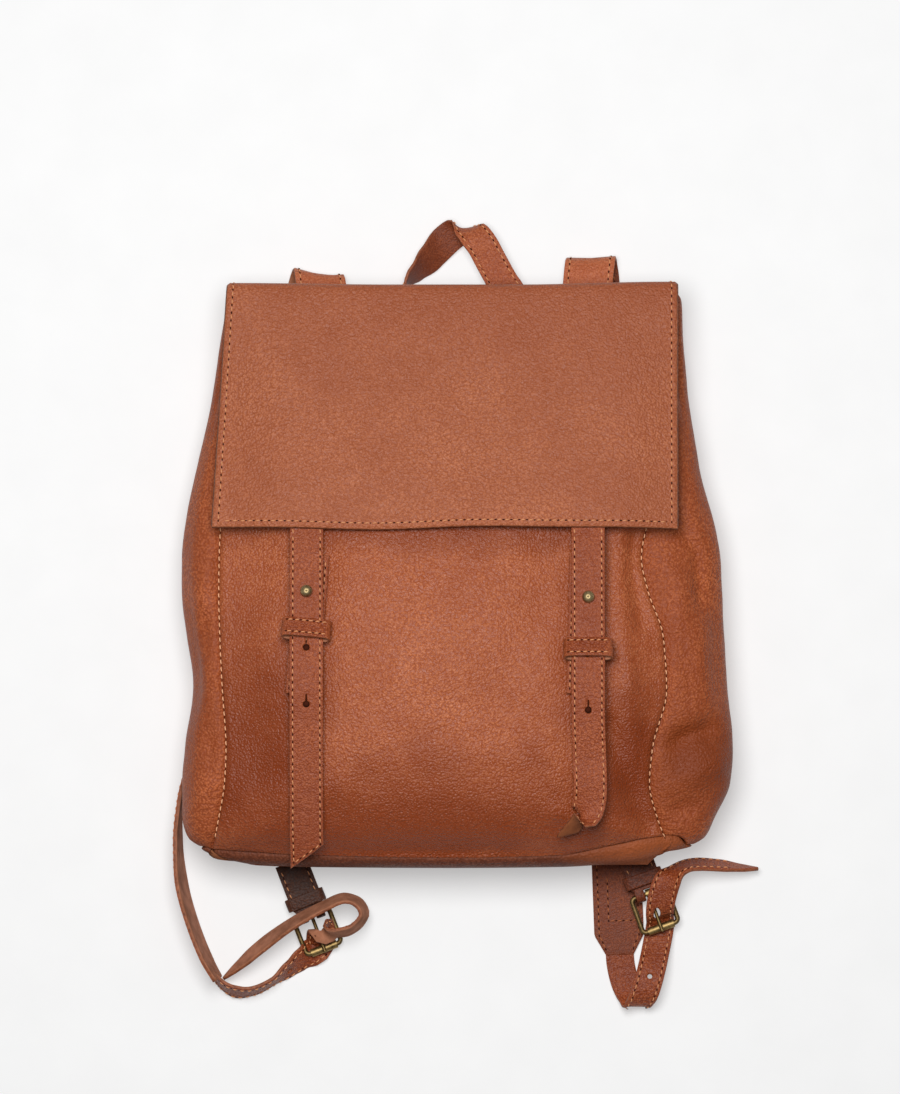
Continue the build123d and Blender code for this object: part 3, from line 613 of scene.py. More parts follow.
# ---- Straps ----
class Ribbon:
    """A smooth strap through stations of (point, direction across it)."""

    def __init__(self, stations, samples=60):
        points = np.array([p for p, _ in stations], float)
        across = unit(np.array([a for _, a in stations], float))
        ends_p = np.vstack([2 * points[0] - points[1], points, 2 * points[-1] - points[-2]])
        ends_a = np.vstack([across[0], across, across[-1]])
        line, sides = [], []
        for i in range(1, len(ends_p) - 2):
            for t in np.linspace(0, 1, samples, endpoint=i == len(ends_p) - 3):
                line.append(self.between(ends_p[i - 1:i + 3], t))
                sides.append(ends_a[i] + (ends_a[i + 1] - ends_a[i]) * t * t * (3 - 2 * t))
        self.line, self.side = np.array(line), np.array(sides)
        steps = np.linalg.norm(np.diff(self.line, axis=0), axis=1)
        self.length_at = np.concatenate([[0], np.cumsum(steps)])
        self.length = self.length_at[-1]
        tangent = unit(np.gradient(self.line, axis=0))
        self.side = unit(self.side - tangent * (self.side * tangent).sum(1, keepdims=True))
        self.normal = np.cross(tangent, self.side)

    @staticmethod
    def between(p, t):
        """A centripetal curve from the second to the third of four points."""
        knots = [0.0]
        for a, b in zip(p, p[1:]):
            knots.append(knots[-1] + max(np.linalg.norm(b - a), 1e-6) ** 0.5)
        u = knots[1] + (knots[2] - knots[1]) * t

        def mix(a, b, low, high):
            return a + (b - a) * (u - low) / (high - low)
        a1 = mix(p[0], p[1], knots[0], knots[1])
        a2 = mix(p[1], p[2], knots[1], knots[2])
        a3 = mix(p[2], p[3], knots[2], knots[3])
        b1, b2 = mix(a1, a2, knots[0], knots[2]), mix(a2, a3, knots[1], knots[3])
        return mix(b1, b2, knots[1], knots[2])

    def frame_at(self, s):
        """The middle line's point, the direction across and the normal at s along the strap."""
        return [np.stack([np.interp(s, self.length_at, table[:, k]) for k in range(3)], -1)
                for table in (self.line, self.side, self.normal)]

    def place(self, s, u, height=0.0):
        """The point at s along the strap, u across it and height above its middle."""
        s, u, height = (np.asarray(value, float) for value in (s, u, height))
        line, side, normal = self.frame_at(s)
        return line + side * u[..., None] + normal * height[..., None]

    def surface(self, height):
        """Point at (s, u) on the face that lies height above the middle of the strap."""
        return lambda s, u: self.place(s, u, height)

    def nearest(self, point):
        return self.length_at[np.argmin(np.linalg.norm(self.line - np.asarray(point), axis=1))]


def resampled(loop, spacing):
    """A closed loop of 2-D points with no step longer than spacing."""
    points = []
    for a, b in zip(loop, np.roll(loop, -1, axis=0)):
        count = max(int(np.ceil(np.linalg.norm(b - a) / spacing)), 1)
        points += [a + (b - a) * i / count for i in range(count)]
    return np.array(points)


def shifted(loop, distance):
    """A closed loop moved inward (to its left) by distance."""
    before, after = np.roll(loop, 1, axis=0), np.roll(loop, -1, axis=0)
    along = unit(loop - before) + unit(after - loop)
    left = np.stack([-along[:, 1], along[:, 0]], 1)
    scale = 2 / np.maximum((left ** 2).sum(1, keepdims=True), 0.6)
    return loop + left * scale * distance


def inside(points, loop):
    """True for points inside a closed loop."""
    x, y = points[:, 0], points[:, 1]
    result = np.zeros(len(points), bool)
    for (ax, ay), (bx, by) in zip(loop, np.roll(loop, -1, axis=0)):
        crosses = (ay > y) != (by > y)
        at = ax + (y - ay) * (bx - ax) / (by - ay if by != ay else 1e-12)
        result ^= crosses & (x < at)
    return result


def loop_distance(points, loop):
    """Distance of each point from a closed loop."""
    best = np.full(len(points), 1e9)
    for a, b in zip(loop, np.roll(loop, -1, axis=0)):
        d = b - a
        t = np.clip(((points - a) @ d) / max(d @ d, 1e-12), 0, 1)
        best = np.minimum(best, np.linalg.norm(points - a - t[:, None] * d, axis=1))
    return best


def circle(s, u, radius, sides=14):
    angle = np.arange(sides) * 2 * math.pi / sides
    return np.stack([s + np.cos(angle) * radius, u + np.sin(angle) * radius], 1)


def keyhole(s, u, radius=2.0, slit=6.0, half=0.3):
    """A round hole with a slit towards the start of the strap, anticlockwise."""
    angle = np.linspace(-math.pi + 0.25, math.pi - 0.25, 15)
    loop = [(s + math.cos(a) * radius, u + math.sin(a) * radius) for a in angle]
    loop += [(s - slit, u + half), (s - slit, u - half)]
    return np.array(loop)


def strip(name, body, nodes, outline, place, grain, back, thickness=LEATHER, holes=(), spacing=2.2,
          rounding=0.8, weld=False):
    """A flat piece of leather cut to outline, with holes, bent by place(s, u, height)."""
    outline = resampled(np.asarray(outline, float), spacing)
    holes = [resampled(np.asarray(h, float), 1.2) for h in holes]
    low, high = outline.min(0), outline.max(0)
    s_grid, u_grid = np.meshgrid(np.arange(low[0], high[0], spacing), np.arange(low[1], high[1], spacing))
    inner = np.stack([s_grid.ravel(), u_grid.ravel()], 1)
    keep = inside(inner, outline) & (loop_distance(inner, outline) > rounding * 1.6)
    for hole in holes:
        keep &= ~inside(inner, hole) & (loop_distance(inner, hole) > rounding * 1.4)
    extra = [shifted(outline, rounding * 0.3), shifted(outline, rounding)]
    extra += [shifted(hole, -rounding * 0.6) for hole in holes]
    loops = [outline, *holes]
    points = np.concatenate([*loops, *extra, inner[keep]])
    edges, start = [], 0
    for loop in loops:
        edges += [(start + i, start + (i + 1) % len(loop)) for i in range(len(loop))]
        start += len(loop)
    result = geometry.delaunay_2d_cdt([Vector(p) for p in points], edges, [], 0, 1e-5)
    flat, faces = np.array([tuple(v) for v in result[0]]), [list(f) for f in result[2]]
    middle = np.array([flat[f].mean(0) for f in faces])
    kept = inside(middle, outline)
    for hole in holes:
        kept &= ~inside(middle, hole)
    faces = [f for f, k in zip(faces, kept) if k]
    distance = np.min([loop_distance(flat, loop) for loop in loops], axis=0)
    half = thickness / 2 * (0.55 + 0.45 * np.sqrt(1 - (1 - np.clip(distance / rounding, 0, 1)) ** 2))
    top, bottom = place(flat[:, 0], flat[:, 1], half), place(flat[:, 0], flat[:, 1], -half)
    count = len(flat)
    sides = dict.fromkeys((a, b) for f in faces for a, b in zip(f, f[1:] + f[:1]))
    walls = [(b, a, a + count, b + count) for a, b in sides if (b, a) not in sides]
    piece = two_sided(name, top, bottom, faces, walls, grain, back, weld)
    finish_piece(piece, body, "strap_leather", *nodes)


def band_outline(widths):
    """Outline of a strap from (s, left edge u, right edge u) rows, anticlockwise."""
    return [(s, low) for s, low, _ in widths] + [(s, high) for s, _, high in reversed(widths)]


def taper(ribbon, rows):
    """Outline from (distance from the start, or from the end if negative, width) rows."""
    return band_outline([(s if s >= 0 else ribbon.length + s, -w / 2, w / 2) for s, w in rows])


def straight(ribbon, width, cut=0.0):
    """Outline of a strap of one width; cut slants its end."""
    half = width / 2
    return [(0, -half), (ribbon.length, -half), (ribbon.length - cut, half), (0, half)]


def edge_rows(surface, inset, start, end):
    """A stitch row along each edge of a strap."""
    return [(surface, [(start, u), (end, u)]) for u in (-inset, inset)]


# ---- The bag's shell ----
SIDE_RIM_Y = {"left": -339.5, "right": -338.4}
SEAM_END_X = {"left": -146.0, "right": 128.0}
GUSSET_FOLDS = {
    "left": [([(-150, -205), (-154, -245), (-148, -275)], 6, -1.2),
             ([(-141, -150), (-150, -190)], 6, 1.4),
             ([(-143, -300), (-158, -318)], 8, 1.6)],
    "right": [([(118, -277), (136, -274), (154, -268)], 6, -4.2),
              ([(122, -300), (142, -296), (158, -290)], 8, 2.6),
              ([(126, -165), (136, -182), (133, -204)], 7, 2.4),
              ([(132, -138), (146, -160), (150, -190)], 5, -2.6),
              ([(130, -318), (142, -316)], 5, -2)],
}
# Soft folds of the front panel: points of the line, width, height
FOLDS = [
    ([(100, -140), (97, -170), (99, -205), (104, -240)], 6, 3.2),
    ([(108, -150), (107, -175), (112, -205)], 4.6, -2.2),
    ([(-118, -160), (-126, -220), (-116, -290)], 16, -2.6),
    ([(-60, -330), (0, -336), (70, -326)], 10, -1.2),
    ([(104, -250), (106, -280), (90, -312)], 8, 1.6),
    ([(56, -160), (50, -200), (30, -240)], 14, -1.4),
    ([(92, -265), (104, -300), (116, -326)], 7, -3.4),
    ([(-130, -335), (-105, -310), (-70, -300)], 9, 1.4),
    ([(-60, -175), (-20, -200), (40, -215)], 26, 1.6),
    ([(60, -318), (96, -326), (118, -334)], 6, 2.2),
]


def front_height(x, y):
    """Outer face of the front panel."""
    left, right = column(LEFT_SEAM_X, y), column(RIGHT_SEAM_X, y)
    seam_z, middle_z = column(SEAM_Z, y), column(MIDDLE_Z, y)
    half = (right - left) / 2
    offset = np.clip(np.abs(x - (left + right) / 2) / half, 0, 1)
    z = middle_z - (middle_z - seam_z + 3.0) * (0.35 * offset ** 2 + 0.65 * offset ** 4)
    calm = np.ones(np.shape(x))         # 0 under the closure straps, where the folds lie flat
    for side in SIDES:
        calm = calm * (1 - bell(np.maximum(np.abs(x - CLOSURE_X[side]) - 8, 0), 12)
                       * smoothstep(-262, -240, y) * (1 - smoothstep(-160, -140, y)))
    shift = folded(x, y, FOLDS)
    shift = shift + 1.3 * soft_noise(x, y, 0 * x, 55.0, 1) + 0.5 * soft_noise(x, y, 0 * x, 16.0, 2)
    z = z + np.where(shift > 0, shift * calm, shift) - 0.5 - 0.8 * (1 - calm)
    to_seam = np.minimum(x - left, right - x)
    ridge, groove = 0.9 * bell(to_seam - 3.2, 1.9), 1.7 * bell(to_seam, 1.5)
    return z + ridge - groove - 4.0 * smoothstep(-326, -344, y) ** 1.5


def front_seam_y(x):
    """Where the front panel meets the base panel."""
    return eased([-150, -92, 0, 64, 94, 122, 134], [-340, -343, -344.5, -343, -337.6, -332.4, -331.4], x)


def base_low_y(x):
    """The base's outermost line, seen from above."""
    return eased([-160, -148, -138, -128, -90, 0, 64, 100, 130, 146],
                 [-342.5, -345.5, -348.0, -349.2, -350.6, -351.2, -350.6, -348.0, -343.8, -340.0], x)


def front_points():
    u, v = np.meshgrid(with_margins(120, 265), with_margins(140, 335))

    def across(y):
        left, right = column(LEFT_SEAM_X, y), column(RIGHT_SEAM_X, y)
        return left + (right - left) * u
    y = MOUTH_Y + (front_seam_y(across(MOUTH_Y + (RIM_Y - MOUTH_Y) * v)) - MOUTH_Y) * v
    x = across(y)
    return np.stack([x, y, front_height(x, y)], -1)


def bezier(a, b, c, d, k):
    return a * (1 - k) ** 3 + 3 * b * k * (1 - k) ** 2 + 3 * c * k * k * (1 - k) + d * k ** 3


def gusset_points(side):
    """From the front seam (t = 0) around the side (t = 0.55) to the back (t = 1)."""
    sign = -1 if side == "left" else 1
    turn = 0.55
    t = np.concatenate([[0, 0.008, 0.016, 0.024], np.linspace(0.032, 1, 52)])
    t, v = np.meshgrid(t, with_margins(130, 335))
    rim = 5.0 * bell(t - 0.3, 0.14) - 4.0 * smoothstep(0.45, 0.6, t)
    seam_end = float(front_seam_y(np.array([SEAM_END_X[side]]))[0])
    end_y = seam_end + (SIDE_RIM_Y[side] - seam_end) * smoothstep(0.03, 0.3, t)
    y = MOUTH_Y + rim * (1 - v) ** 12 + (end_y - MOUTH_Y) * v
    seam_x, side_x = (column(index, y) for index in EDGE_X[side])
    seam_z, side_z, back_z = front_height(seam_x, y) + 0.4, column(SIDE_Z, y), column(UNDER_Z, y)
    back_x = BACK_LEFT if side == "left" else BACK_RIGHT
    reach, fall, tuck = side_x - seam_x, seam_z - side_z, side_x - back_x
    upper, lower = np.clip(t / turn, 0, 1), np.clip((t - turn) / (1 - turn), 0, 1)
    x_up = bezier(seam_x, seam_x + 0.62 * reach, side_x, side_x, upper)
    z_up = bezier(seam_z, seam_z + 0.16 * fall, side_z + 0.72 * fall, side_z, upper)
    x_low = bezier(side_x, side_x, back_x + 0.35 * tuck, back_x, lower)
    z_low = bezier(side_z, side_z - 0.55 * (side_z - back_z), back_z + 0.5, back_z + 0.6, lower)
    tucked = 1 - smoothstep(0.0, 0.03, t)       # the edge that goes under the front panel
    x = np.where(t < turn, x_up, x_low) - sign * 5.0 * tucked
    z = np.where(t < turn, z_up, z_low) - 2.9 * tucked
    points = np.stack([x, y, z], -1)
    outward = grid_normals(points) * sheet_side(points, (sign, 0, 0))
    free = smoothstep(0, 0.12, t) * (1 - smoothstep(0.85, 1.0, t))
    small = 0.5 if side == "left" else 0.9
    crumple = 2.4 * soft_noise(x, y, z, 42.0, 3 + sign) + small * soft_noise(x, y, z, 15.0, 5 + sign)
    crease = -3.5 * bell(t - 0.3, 0.08) * smoothstep(-110, -20, y)
    slack = -3.0 * bell(t - 0.42, 0.16) * bell(y + 215, 60)
    shape = crumple - 1.2 + crease + slack + folded(x, y, GUSSET_FOLDS[side])
    calm = (1 - smoothstep(0.93, 0.99, v)) * (1 - 0.6 * bell(t - turn, 0.14))
    move = shape * free * calm - 1.0 * smoothstep(0.985, 1.0, v) * free
    return points + outward * move[..., None]


def back_points():
    u, v = np.meshgrid(np.linspace(0, 1, 60), with_margins(90, 330))
    y = MOUTH_Y + (RIM_Y - MOUTH_Y) * v
    x = BACK_LEFT + 1.0 + (BACK_RIGHT - BACK_LEFT - 2.0) * u
    z = column(UNDER_Z, y) + 0.25 * soft_noise(x, y, 0 * x, 30.0, 9) + 0.2
    return np.stack([x, y, z], -1)


def base_points(gussets):
    """Loops from the rim around the bag's lower end to the middle of the base."""
    tucked_edge = 5             # the gusset's first columns lie under the front panel
    middle_z, back_z = 37.0, 3.8
    front_x = np.linspace(*(column(i, np.array([-341.0]))[0] for i in (LEFT_SEAM_X, RIGHT_SEAM_X)), 90)
    front_y = front_seam_y(front_x)
    back_x = np.linspace(BACK_RIGHT - 1, BACK_LEFT + 1, 60)
    back_y = np.interp(back_x, (BACK_LEFT, BACK_RIGHT), (SIDE_RIM_Y["left"], SIDE_RIM_Y["right"]))
    rim = np.concatenate([
        np.stack([front_x, front_y + 0.8, front_height(front_x, front_y) - 0.8], 1),
        gussets["right"][-1, tucked_edge:],
        np.stack([back_x, back_y, np.full(len(back_x), back_z)], 1),
        gussets["left"][-1, tucked_edge:][::-1]])
    loop, rim_y = rim[:, [0, 2]], rim[:, 1]
    centre = np.stack([np.clip(loop[:, 0], -118, 116), np.full(len(loop), middle_z)], 1)
    toward = centre - loop
    reach = np.maximum(np.linalg.norm(toward, axis=1, keepdims=True), 1e-6)
    rings = []

    def add_ring(flat, y):
        rings.append(np.stack([flat[:, 0], y, flat[:, 1]], 1))
    for depth, rise in ((3.4, 5.0), (2.9, 2.0)):        # the hidden edge inside the bag
        add_ring(loop + toward / reach * depth, rim_y + rise)
    low_y = base_low_y(loop[:, 0])
    corner = np.where(np.arange(len(loop)) < len(front_x), 13.0, 19.0)
    for k in np.linspace(0, math.pi / 2, 9):            # the rounding from the rim into the base
        pull = corner * (1 - math.cos(k)) + 0.9 * bell(k, 0.1)
        add_ring(loop + toward / reach * np.minimum(pull[:, None], reach * 0.6),
                 rim_y + (low_y - rim_y) * math.sin(k))
    edge = rings[-1]
    for k in np.linspace(0, 1, 12)[1:]:                 # the flat of the base
        add_ring(edge[:, [0, 2]] + (centre - edge[:, [0, 2]]) * k,
                 edge[:, 1] * (1 - k) + k * (BASE_Y + 0.6) + 0.5 * math.sin(k * math.pi))
    points = np.array(rings)
    return np.concatenate([points, points[:, :1]], axis=1)


def make_shell():
    gussets = {side: gusset_points(side) for side in SIDES}
    sheets = [("front_leather", front_points(), FRONT, (0, 0, -1), "panel_leather", "front_panel")]
    for side, inside_x in (("left", 1), ("right", -1)):
        sheets.append((f"gusset_leather_{side}", gussets[side], GUSSET, (inside_x, 0, -0.3),
                       "gusset_leather", f"gusset_{side}"))
    sheets += [("back_leather", back_points(), GUSSET, (0, 0, 1), "gusset_leather", "back_panel"),
               ("base_leather", base_points(gussets), BASE, (0, 1, 0), "gusset_leather", "base_panel")]
    for name, grid, grain, inside, slot, node in sheets:
        piece = leather_sheet(name, grid, grain, inside, weld=name == "base_leather")
        finish_piece(piece, "bag", slot, node)


def seam_surface(x, y):
    return np.array([x, y, float(front_height(np.array([x]), np.array([y]))[0])])


def make_seam_stitches():
    ys = np.linspace(-14, -333, 60)
    rows = [(seam_surface, np.stack([column(index, ys) + inset, ys], 1))
            for index, inset in ((LEFT_SEAM_X, 0.9), (RIGHT_SEAM_X, -0.9))]
    rows.append((seam_surface, [(x, MOUTH_Y - 4.0) for x in np.linspace(-122, 118, 8)]))
    sew("seam_stitches", "bag", rows, length=3.1, material=PALE_THREAD, hole_size=(1.2, 0.7))


# ---- The flap ----
# The outer face of the flap from the sewn rear edge up to the fold, and on to its lower edge: (Y, Z)
BAND_LINE = [(-22, 18), (-16, 18), (-10.5, 18.3), (-7.6, 20), (-6.2, 23), (-4.4, 29), (-2.9, 34)]
FOLD_LINE = [(-2.9, 34), (-1.5, 39), (-0.5, 44), (-0.6, 48.4), (-2.6, 51.2), (-6.5, 52.9), (-14, 54.8),
             (-30, 58.4), (-60, 64.3), (-95, 71.2), (-125, 77.2), (-146, 81.2)]


def flap_sag(x, y):
    """How the front of the flap droops and waves."""
    side = np.maximum(smoothstep(96, 142, -x), smoothstep(92, 136, x))
    droop = -6.0 * side ** 1.4 * smoothstep(-4, -70, y)
    wave = 1.0 * soft_noise(x, y, 0 * x, 70.0, 21) + 0.35 * soft_noise(x, y, 0 * x, 22.0, 22)
    belly = -1.6 * bell(y + 70, 45) * bell(x, 90)
    low = 0.8 * np.sin(x / 26.0 + 0.6) * smoothstep(-110, -146, y)
    return smoothstep(-6, -30, y) * (droop + wave + belly + low - 0.4)


def flap_grid(points, rows):
    """A grid of outer points of the flap along a line of (Y, Z)."""
    ribbon = Ribbon([((0, y, z), (1, 0, 0)) for y, z in points], samples=30)
    line = ribbon.frame_at(np.linspace(0, ribbon.length, rows))[0]
    u = with_margins(130, 270)
    y, z = (np.repeat(line[:, k, None], len(u), 1) for k in (1, 2))
    down, rise = np.clip(-y / FLAP_LENGTH, 0, 1), smoothstep(18, 50, z)
    left = -131.0 - 4.6 * rise - 8.8 * down
    right = 127.0 + 6.8 * rise - 0.4 * down
    x = left + (right - left) * u[None, :]
    lower = smoothstep(-100, -146, y)
    y = y + lower * (0.9 * np.sin(x / 38.0) + 0.5 * np.sin(x / 17.0 + 1.0) - 0.9 * smoothstep(60, 134, x))
    upper = smoothstep(-60, -4, y) * smoothstep(16, 40, z)
    y = y + upper * (1.7 * smoothstep(40, 128, x) + 0.9 * smoothstep(-40, -130, x) - 0.4)
    return np.stack([x, y, z + flap_sag(x, y)], -1)


class GridSurface:
    """Points of a grid by (x, distance along) coordinates, for placing stitches."""

    def __init__(self, grid):
        self.grid = grid
        steps = np.linalg.norm(np.diff(grid[:, grid.shape[1] // 2], axis=0), axis=1)
        self.along = np.concatenate([[0], np.cumsum(steps)])
        self.length = self.along[-1]

    def row(self, s):
        """The grid's row at s and how far it is on to the next one."""
        row = np.interp(s, self.along, np.arange(len(self.along)))
        i = int(min(row, len(self.along) - 2))
        return i, row - i

    def __call__(self, x, s):
        """The point at x millimetres and s millimetres down the sheet."""
        i, t = self.row(s)
        line = self.grid[i] * (1 - t) + self.grid[i + 1] * t
        return np.array([x, np.interp(x, line[:, 0], line[:, 1]), np.interp(x, line[:, 0], line[:, 2])])

    def edge_track(self, edge, inset, places):
        """A track inset from the left (0) or right (-1) edge."""
        inset = inset if edge == 0 else -inset
        return [(self.grid[self.row(s)[0], edge, 0] + inset, s) for s in places]


def make_flap():
    inset, pitch = 3.3, 4.6
    band = flap_grid(BAND_LINE, 34)
    band_blend = ("bag", "flap_band", (0, -8, 15.0), (0, -3, 31.0))
    finish_piece(leather_sheet("flap_band_leather", band, FLAP, (0, -1, 0.8)), band_blend,
                 "flap_leather", "flap_rear_seam", "flap_top_band")
    front = flap_grid(FOLD_LINE, 120)
    front_blend = ("flap_band", "flap", (0, -0.5, 45.0), (0, -15, 54.0))
    finish_piece(leather_sheet("flap_leather", front, FLAP, (0, 0.2, -1), bevel=0.8), front_blend,
                 "flap_leather", "flap")
    surface = GridSurface(front)
    end = surface.length - inset
    rows = [(surface, surface.edge_track(edge, inset, np.linspace(2, end, 40))) for edge in (0, -1)]
    (left, _), (right, _) = (surface.edge_track(edge, inset + 3.0, [end])[0] for edge in (0, -1))
    rows.append((surface, [(x, end) for x in np.linspace(left, right, 40)]))
    sew("flap_stitches", front_blend, rows, pitch, up=-1.0)
    surface = GridSurface(band)
    rows = [(surface, [(x, 5.0) for x in np.linspace(-126, 122, 30)])]
    rows += [(surface, surface.edge_track(edge, inset, np.linspace(5, surface.length, 14)))
             for edge in (0, -1)]
    sew("flap_band_stitches", band_blend, rows, pitch, up=-1.0)


# ---- Closure straps, keepers, backing strips ----
STUD_Y = {"left": -184.5, "right": -188.0}
KEEPER_Y = {"left": -207.5, "right": -219.0}
HOLE_PITCH = 34.0
TIP_CUT = {"left": 16.5, "right": 13.0}


def closure_ribbon(side):
    """Centre line from the CAD strap's top face, and the strap's own droop, drift and curl."""
    cad = CadSurface(f"closure_strap_{side}")
    x = CLOSURE_X[side]

    def middle(y):
        droop = 4.5 * smoothstep(-248, -284, y) + 3.0 * smoothstep(-292, -330, y)
        return cad.top(x - 6.0, y) - LEATHER / 2 - droop
    flat = (1, 0, 0)
    stations = [((x, -137.0, 75.6), flat), ((x, -143.0, 76.6), flat), ((x, -149.5, 77.6), flat)]
    ys = [-158.0, -168.0, -190.0, -215.0, -238.0, -262.0]
    if side == "left":
        ys += [-290.0, -312.0, -330.0]
    stations += [((x, y, middle(y)), flat) for y in ys]
    if side == "left":
        # Where it goes on: x shift, y, the y whose height counts, rise over it, direction across
        rest = [(0.3, -342.0, -334.0, -4.5, flat), (0.3, -350.5, -334.0, -9.5, flat)]
    else:
        rest = [(0.8, -285.0, -285.0, 0.0, (1, 0.02, 0)), (1.2, -300.0, -300.0, 0.3, (1, 0.05, 0)),
                (0.6, -311.0, -309.0, 1.0, (1, 0.12, 0.15)),
                (-3.0, -320.0, -316.0, 2.0, (0.9, 0.35, 0.45)),
                (-9.5, -322.5, -321.0, 3.0, (0.5, 0.72, 0.68)),
                (-18.6, -323.0, -323.0, 4.2, (-0.25, 0.86, 0.6))]
    stations += [((x + shift, y, middle(height_y) + rise), across)
                 for shift, y, height_y, rise, across in rest]
    return Ribbon(stations)


def make_closure(side):
    ribbon = closure_ribbon(side)
    body = f"closure_strap_{side}"
    lift = ("flap", body, (CLOSURE_X[side], -145.5, 78), (CLOSURE_X[side], -156, 79))
    stud_s = ribbon.nearest((CLOSURE_X[side], STUD_Y[side], 84))
    keyholes = [stud_s + HOLE_PITCH * k for k in (1, 2)]
    holes = [circle(stud_s, 0, 2.35)] + [keyhole(s, 0) for s in keyholes]
    strip(f"closure_strap_leather_{side}", lift, (body, f"closure_sewn_end_{side}"),
          straight(ribbon, CLOSURE_WIDTH, TIP_CUT[side]), ribbon.place, STRAP, STRAP_BACK, holes=holes)
    make_keyhole_shadows(f"keyhole_shadow_{side}", lift, ribbon, keyholes)
    inset = CLOSURE_WIDTH / 2 - STRAP_STITCH_INSET
    low_corner, high_corner = (ribbon.length - 4.6, -inset), (ribbon.length - TIP_CUT[side] - 0.4, inset)
    tracks = [[(10, -inset), low_corner], [(10, inset), high_corner], [low_corner, high_corner]]
    sew(f"closure_stitches_{side}", lift, [(ribbon.surface(LEATHER / 2), track) for track in tracks])


def make_keyhole_shadows(name, body, ribbon, places, sides=16, radius=2.05):
    """Painted shadow at the bottoms of the keyholes: dark discs just under the strap's holes."""
    back = -LEATHER / 2
    points, faces = [], []
    for s in places:
        start = len(points)
        points.append(ribbon.place(s, 0.0, back + 0.25))
        points += [ribbon.place(s + radius * math.cos(a), radius * math.sin(a), back + 0.8)
                   for a in around(sides)]
        points.append(ribbon.place(s, 0.0, back - 0.1))
        for k in range(sides):
            a, b = start + 1 + k, start + 1 + (k + 1) % sides
            faces += [(start, a, b), (start + sides + 1, b, a)]
    finish_piece(mesh_object(name, np.array(points), faces, [HOLE_SHADE]), body)


def loop_ribbon(width, height, corner, origin, x_dir, along):
    """A closed loop around a strap: origin in its middle, x_dir across the strap, along it."""
    x_dir, along = unit(np.asarray(x_dir, float)), unit(np.asarray(along, float))
    up = np.cross(x_dir, along)
    out_x, out_z = width / 2 - corner, height / 2 - corner
    places = [(0, -height / 2)]
    corners = ((out_x, -out_z, -90), (out_x, out_z, 0), (-out_x, out_z, 90), (-out_x, -out_z, 180))
    for cx, cz, start in corners:
        for turn in (0, 45, 90):
            a = math.radians(start + turn)
            places.append((cx + corner * math.cos(a), cz + corner * math.sin(a)))
    places.append((-0.3, -height / 2))
    origin = np.asarray(origin, float)
    return Ribbon([(origin + x_dir * px + up * pz, along) for px, pz in places], samples=24)


def outward_place(ribbon, centre):
    """Place function whose positive height points away from centre."""
    line, _, normal = ribbon.frame_at(np.linspace(0, ribbon.length, 9))
    sign = 1.0 if ((line - np.asarray(centre)) * normal).sum() > 0 else -1.0
    return lambda s, u, h: ribbon.place(s, u, sign * np.asarray(h, float))


def ribbon_face(place, height):
    return lambda s, u: place(s, u, height)


def face_sign(surface, s):
    """1 or -1, so that stitches on a face stand out upwards."""
    return 1.0 if face_normal(surface, s, 0.0)[2] > 0 else -1.0


def make_keeper(side):
    """A stitched leather loop around the closure strap."""
    strap = CadSurface(f"closure_strap_{side}")
    x, y = CLOSURE_X[side], KEEPER_Y[side]
    beside = x - 7.0            # clear of the strap's holes
    origin = (x, y, strap.top(beside, y) - LEATHER / 2)
    slope = (strap.top(beside, y + 4) - strap.top(beside, y - 4)) / 8
    wall, width, turn = 1.8, 12.4, {"left": -0.09, "right": 0.0}[side]
    ribbon = loop_ribbon(26 + wall, LEATHER + 0.9 + wall, 2.1, origin, (1, turn, 0),
                         (-turn, 1, slope - 0.42))
    place = outward_place(ribbon, origin)
    body = f"keeper_{side}"
    strip(f"keeper_leather_{side}", body, [body], straight(ribbon, width), place, DEEP_STRAP, FLESH,
          wall, spacing=1.6, rounding=0.6, weld=True)
    middle, face = ribbon.length / 2, ribbon_face(place, wall / 2)
    sew(f"keeper_stitches_{side}", body, edge_rows(face, 4.0, middle - 12.0, middle + 12.0), pitch=4.0,
        up=face_sign(face, middle), length=2.6)


def make_backing(side):
    """The strip under the closure strap, sewn a little askew."""
    cad = CadSurface(f"backing_strip_{side}")
    x = CLOSURE_X[side]
    start, end = {"left": (3.6, -2.4), "right": (-1.0, -3.0)}[side]
    stations = []
    for k in range(6):
        y = -163.0 - 16.6 * k
        drift = start + (end - start) * k / 5
        stations.append(((x + drift, y, cad.top(x, y) - LEATHER / 2), (1, 0, 0)))
    ribbon = Ribbon(stations)
    strip(f"backing_leather_{side}", "bag", [f"backing_strip_{side}"], straight(ribbon, CLOSURE_WIDTH),
          ribbon.place, STRAP, FLESH)
    inset = CLOSURE_WIDTH / 2 - STRAP_STITCH_INSET
    sew(f"backing_stitches_{side}", "bag",
        edge_rows(ribbon.surface(LEATHER / 2), inset, 3, ribbon.length - 3))


# ---- Grab handle and shoulder straps ----
SEAM_END_Z = 14.25          # height of the ends sewn into the top rear seam
END = -1e-6                 # the very end of a strap, in taper's rows
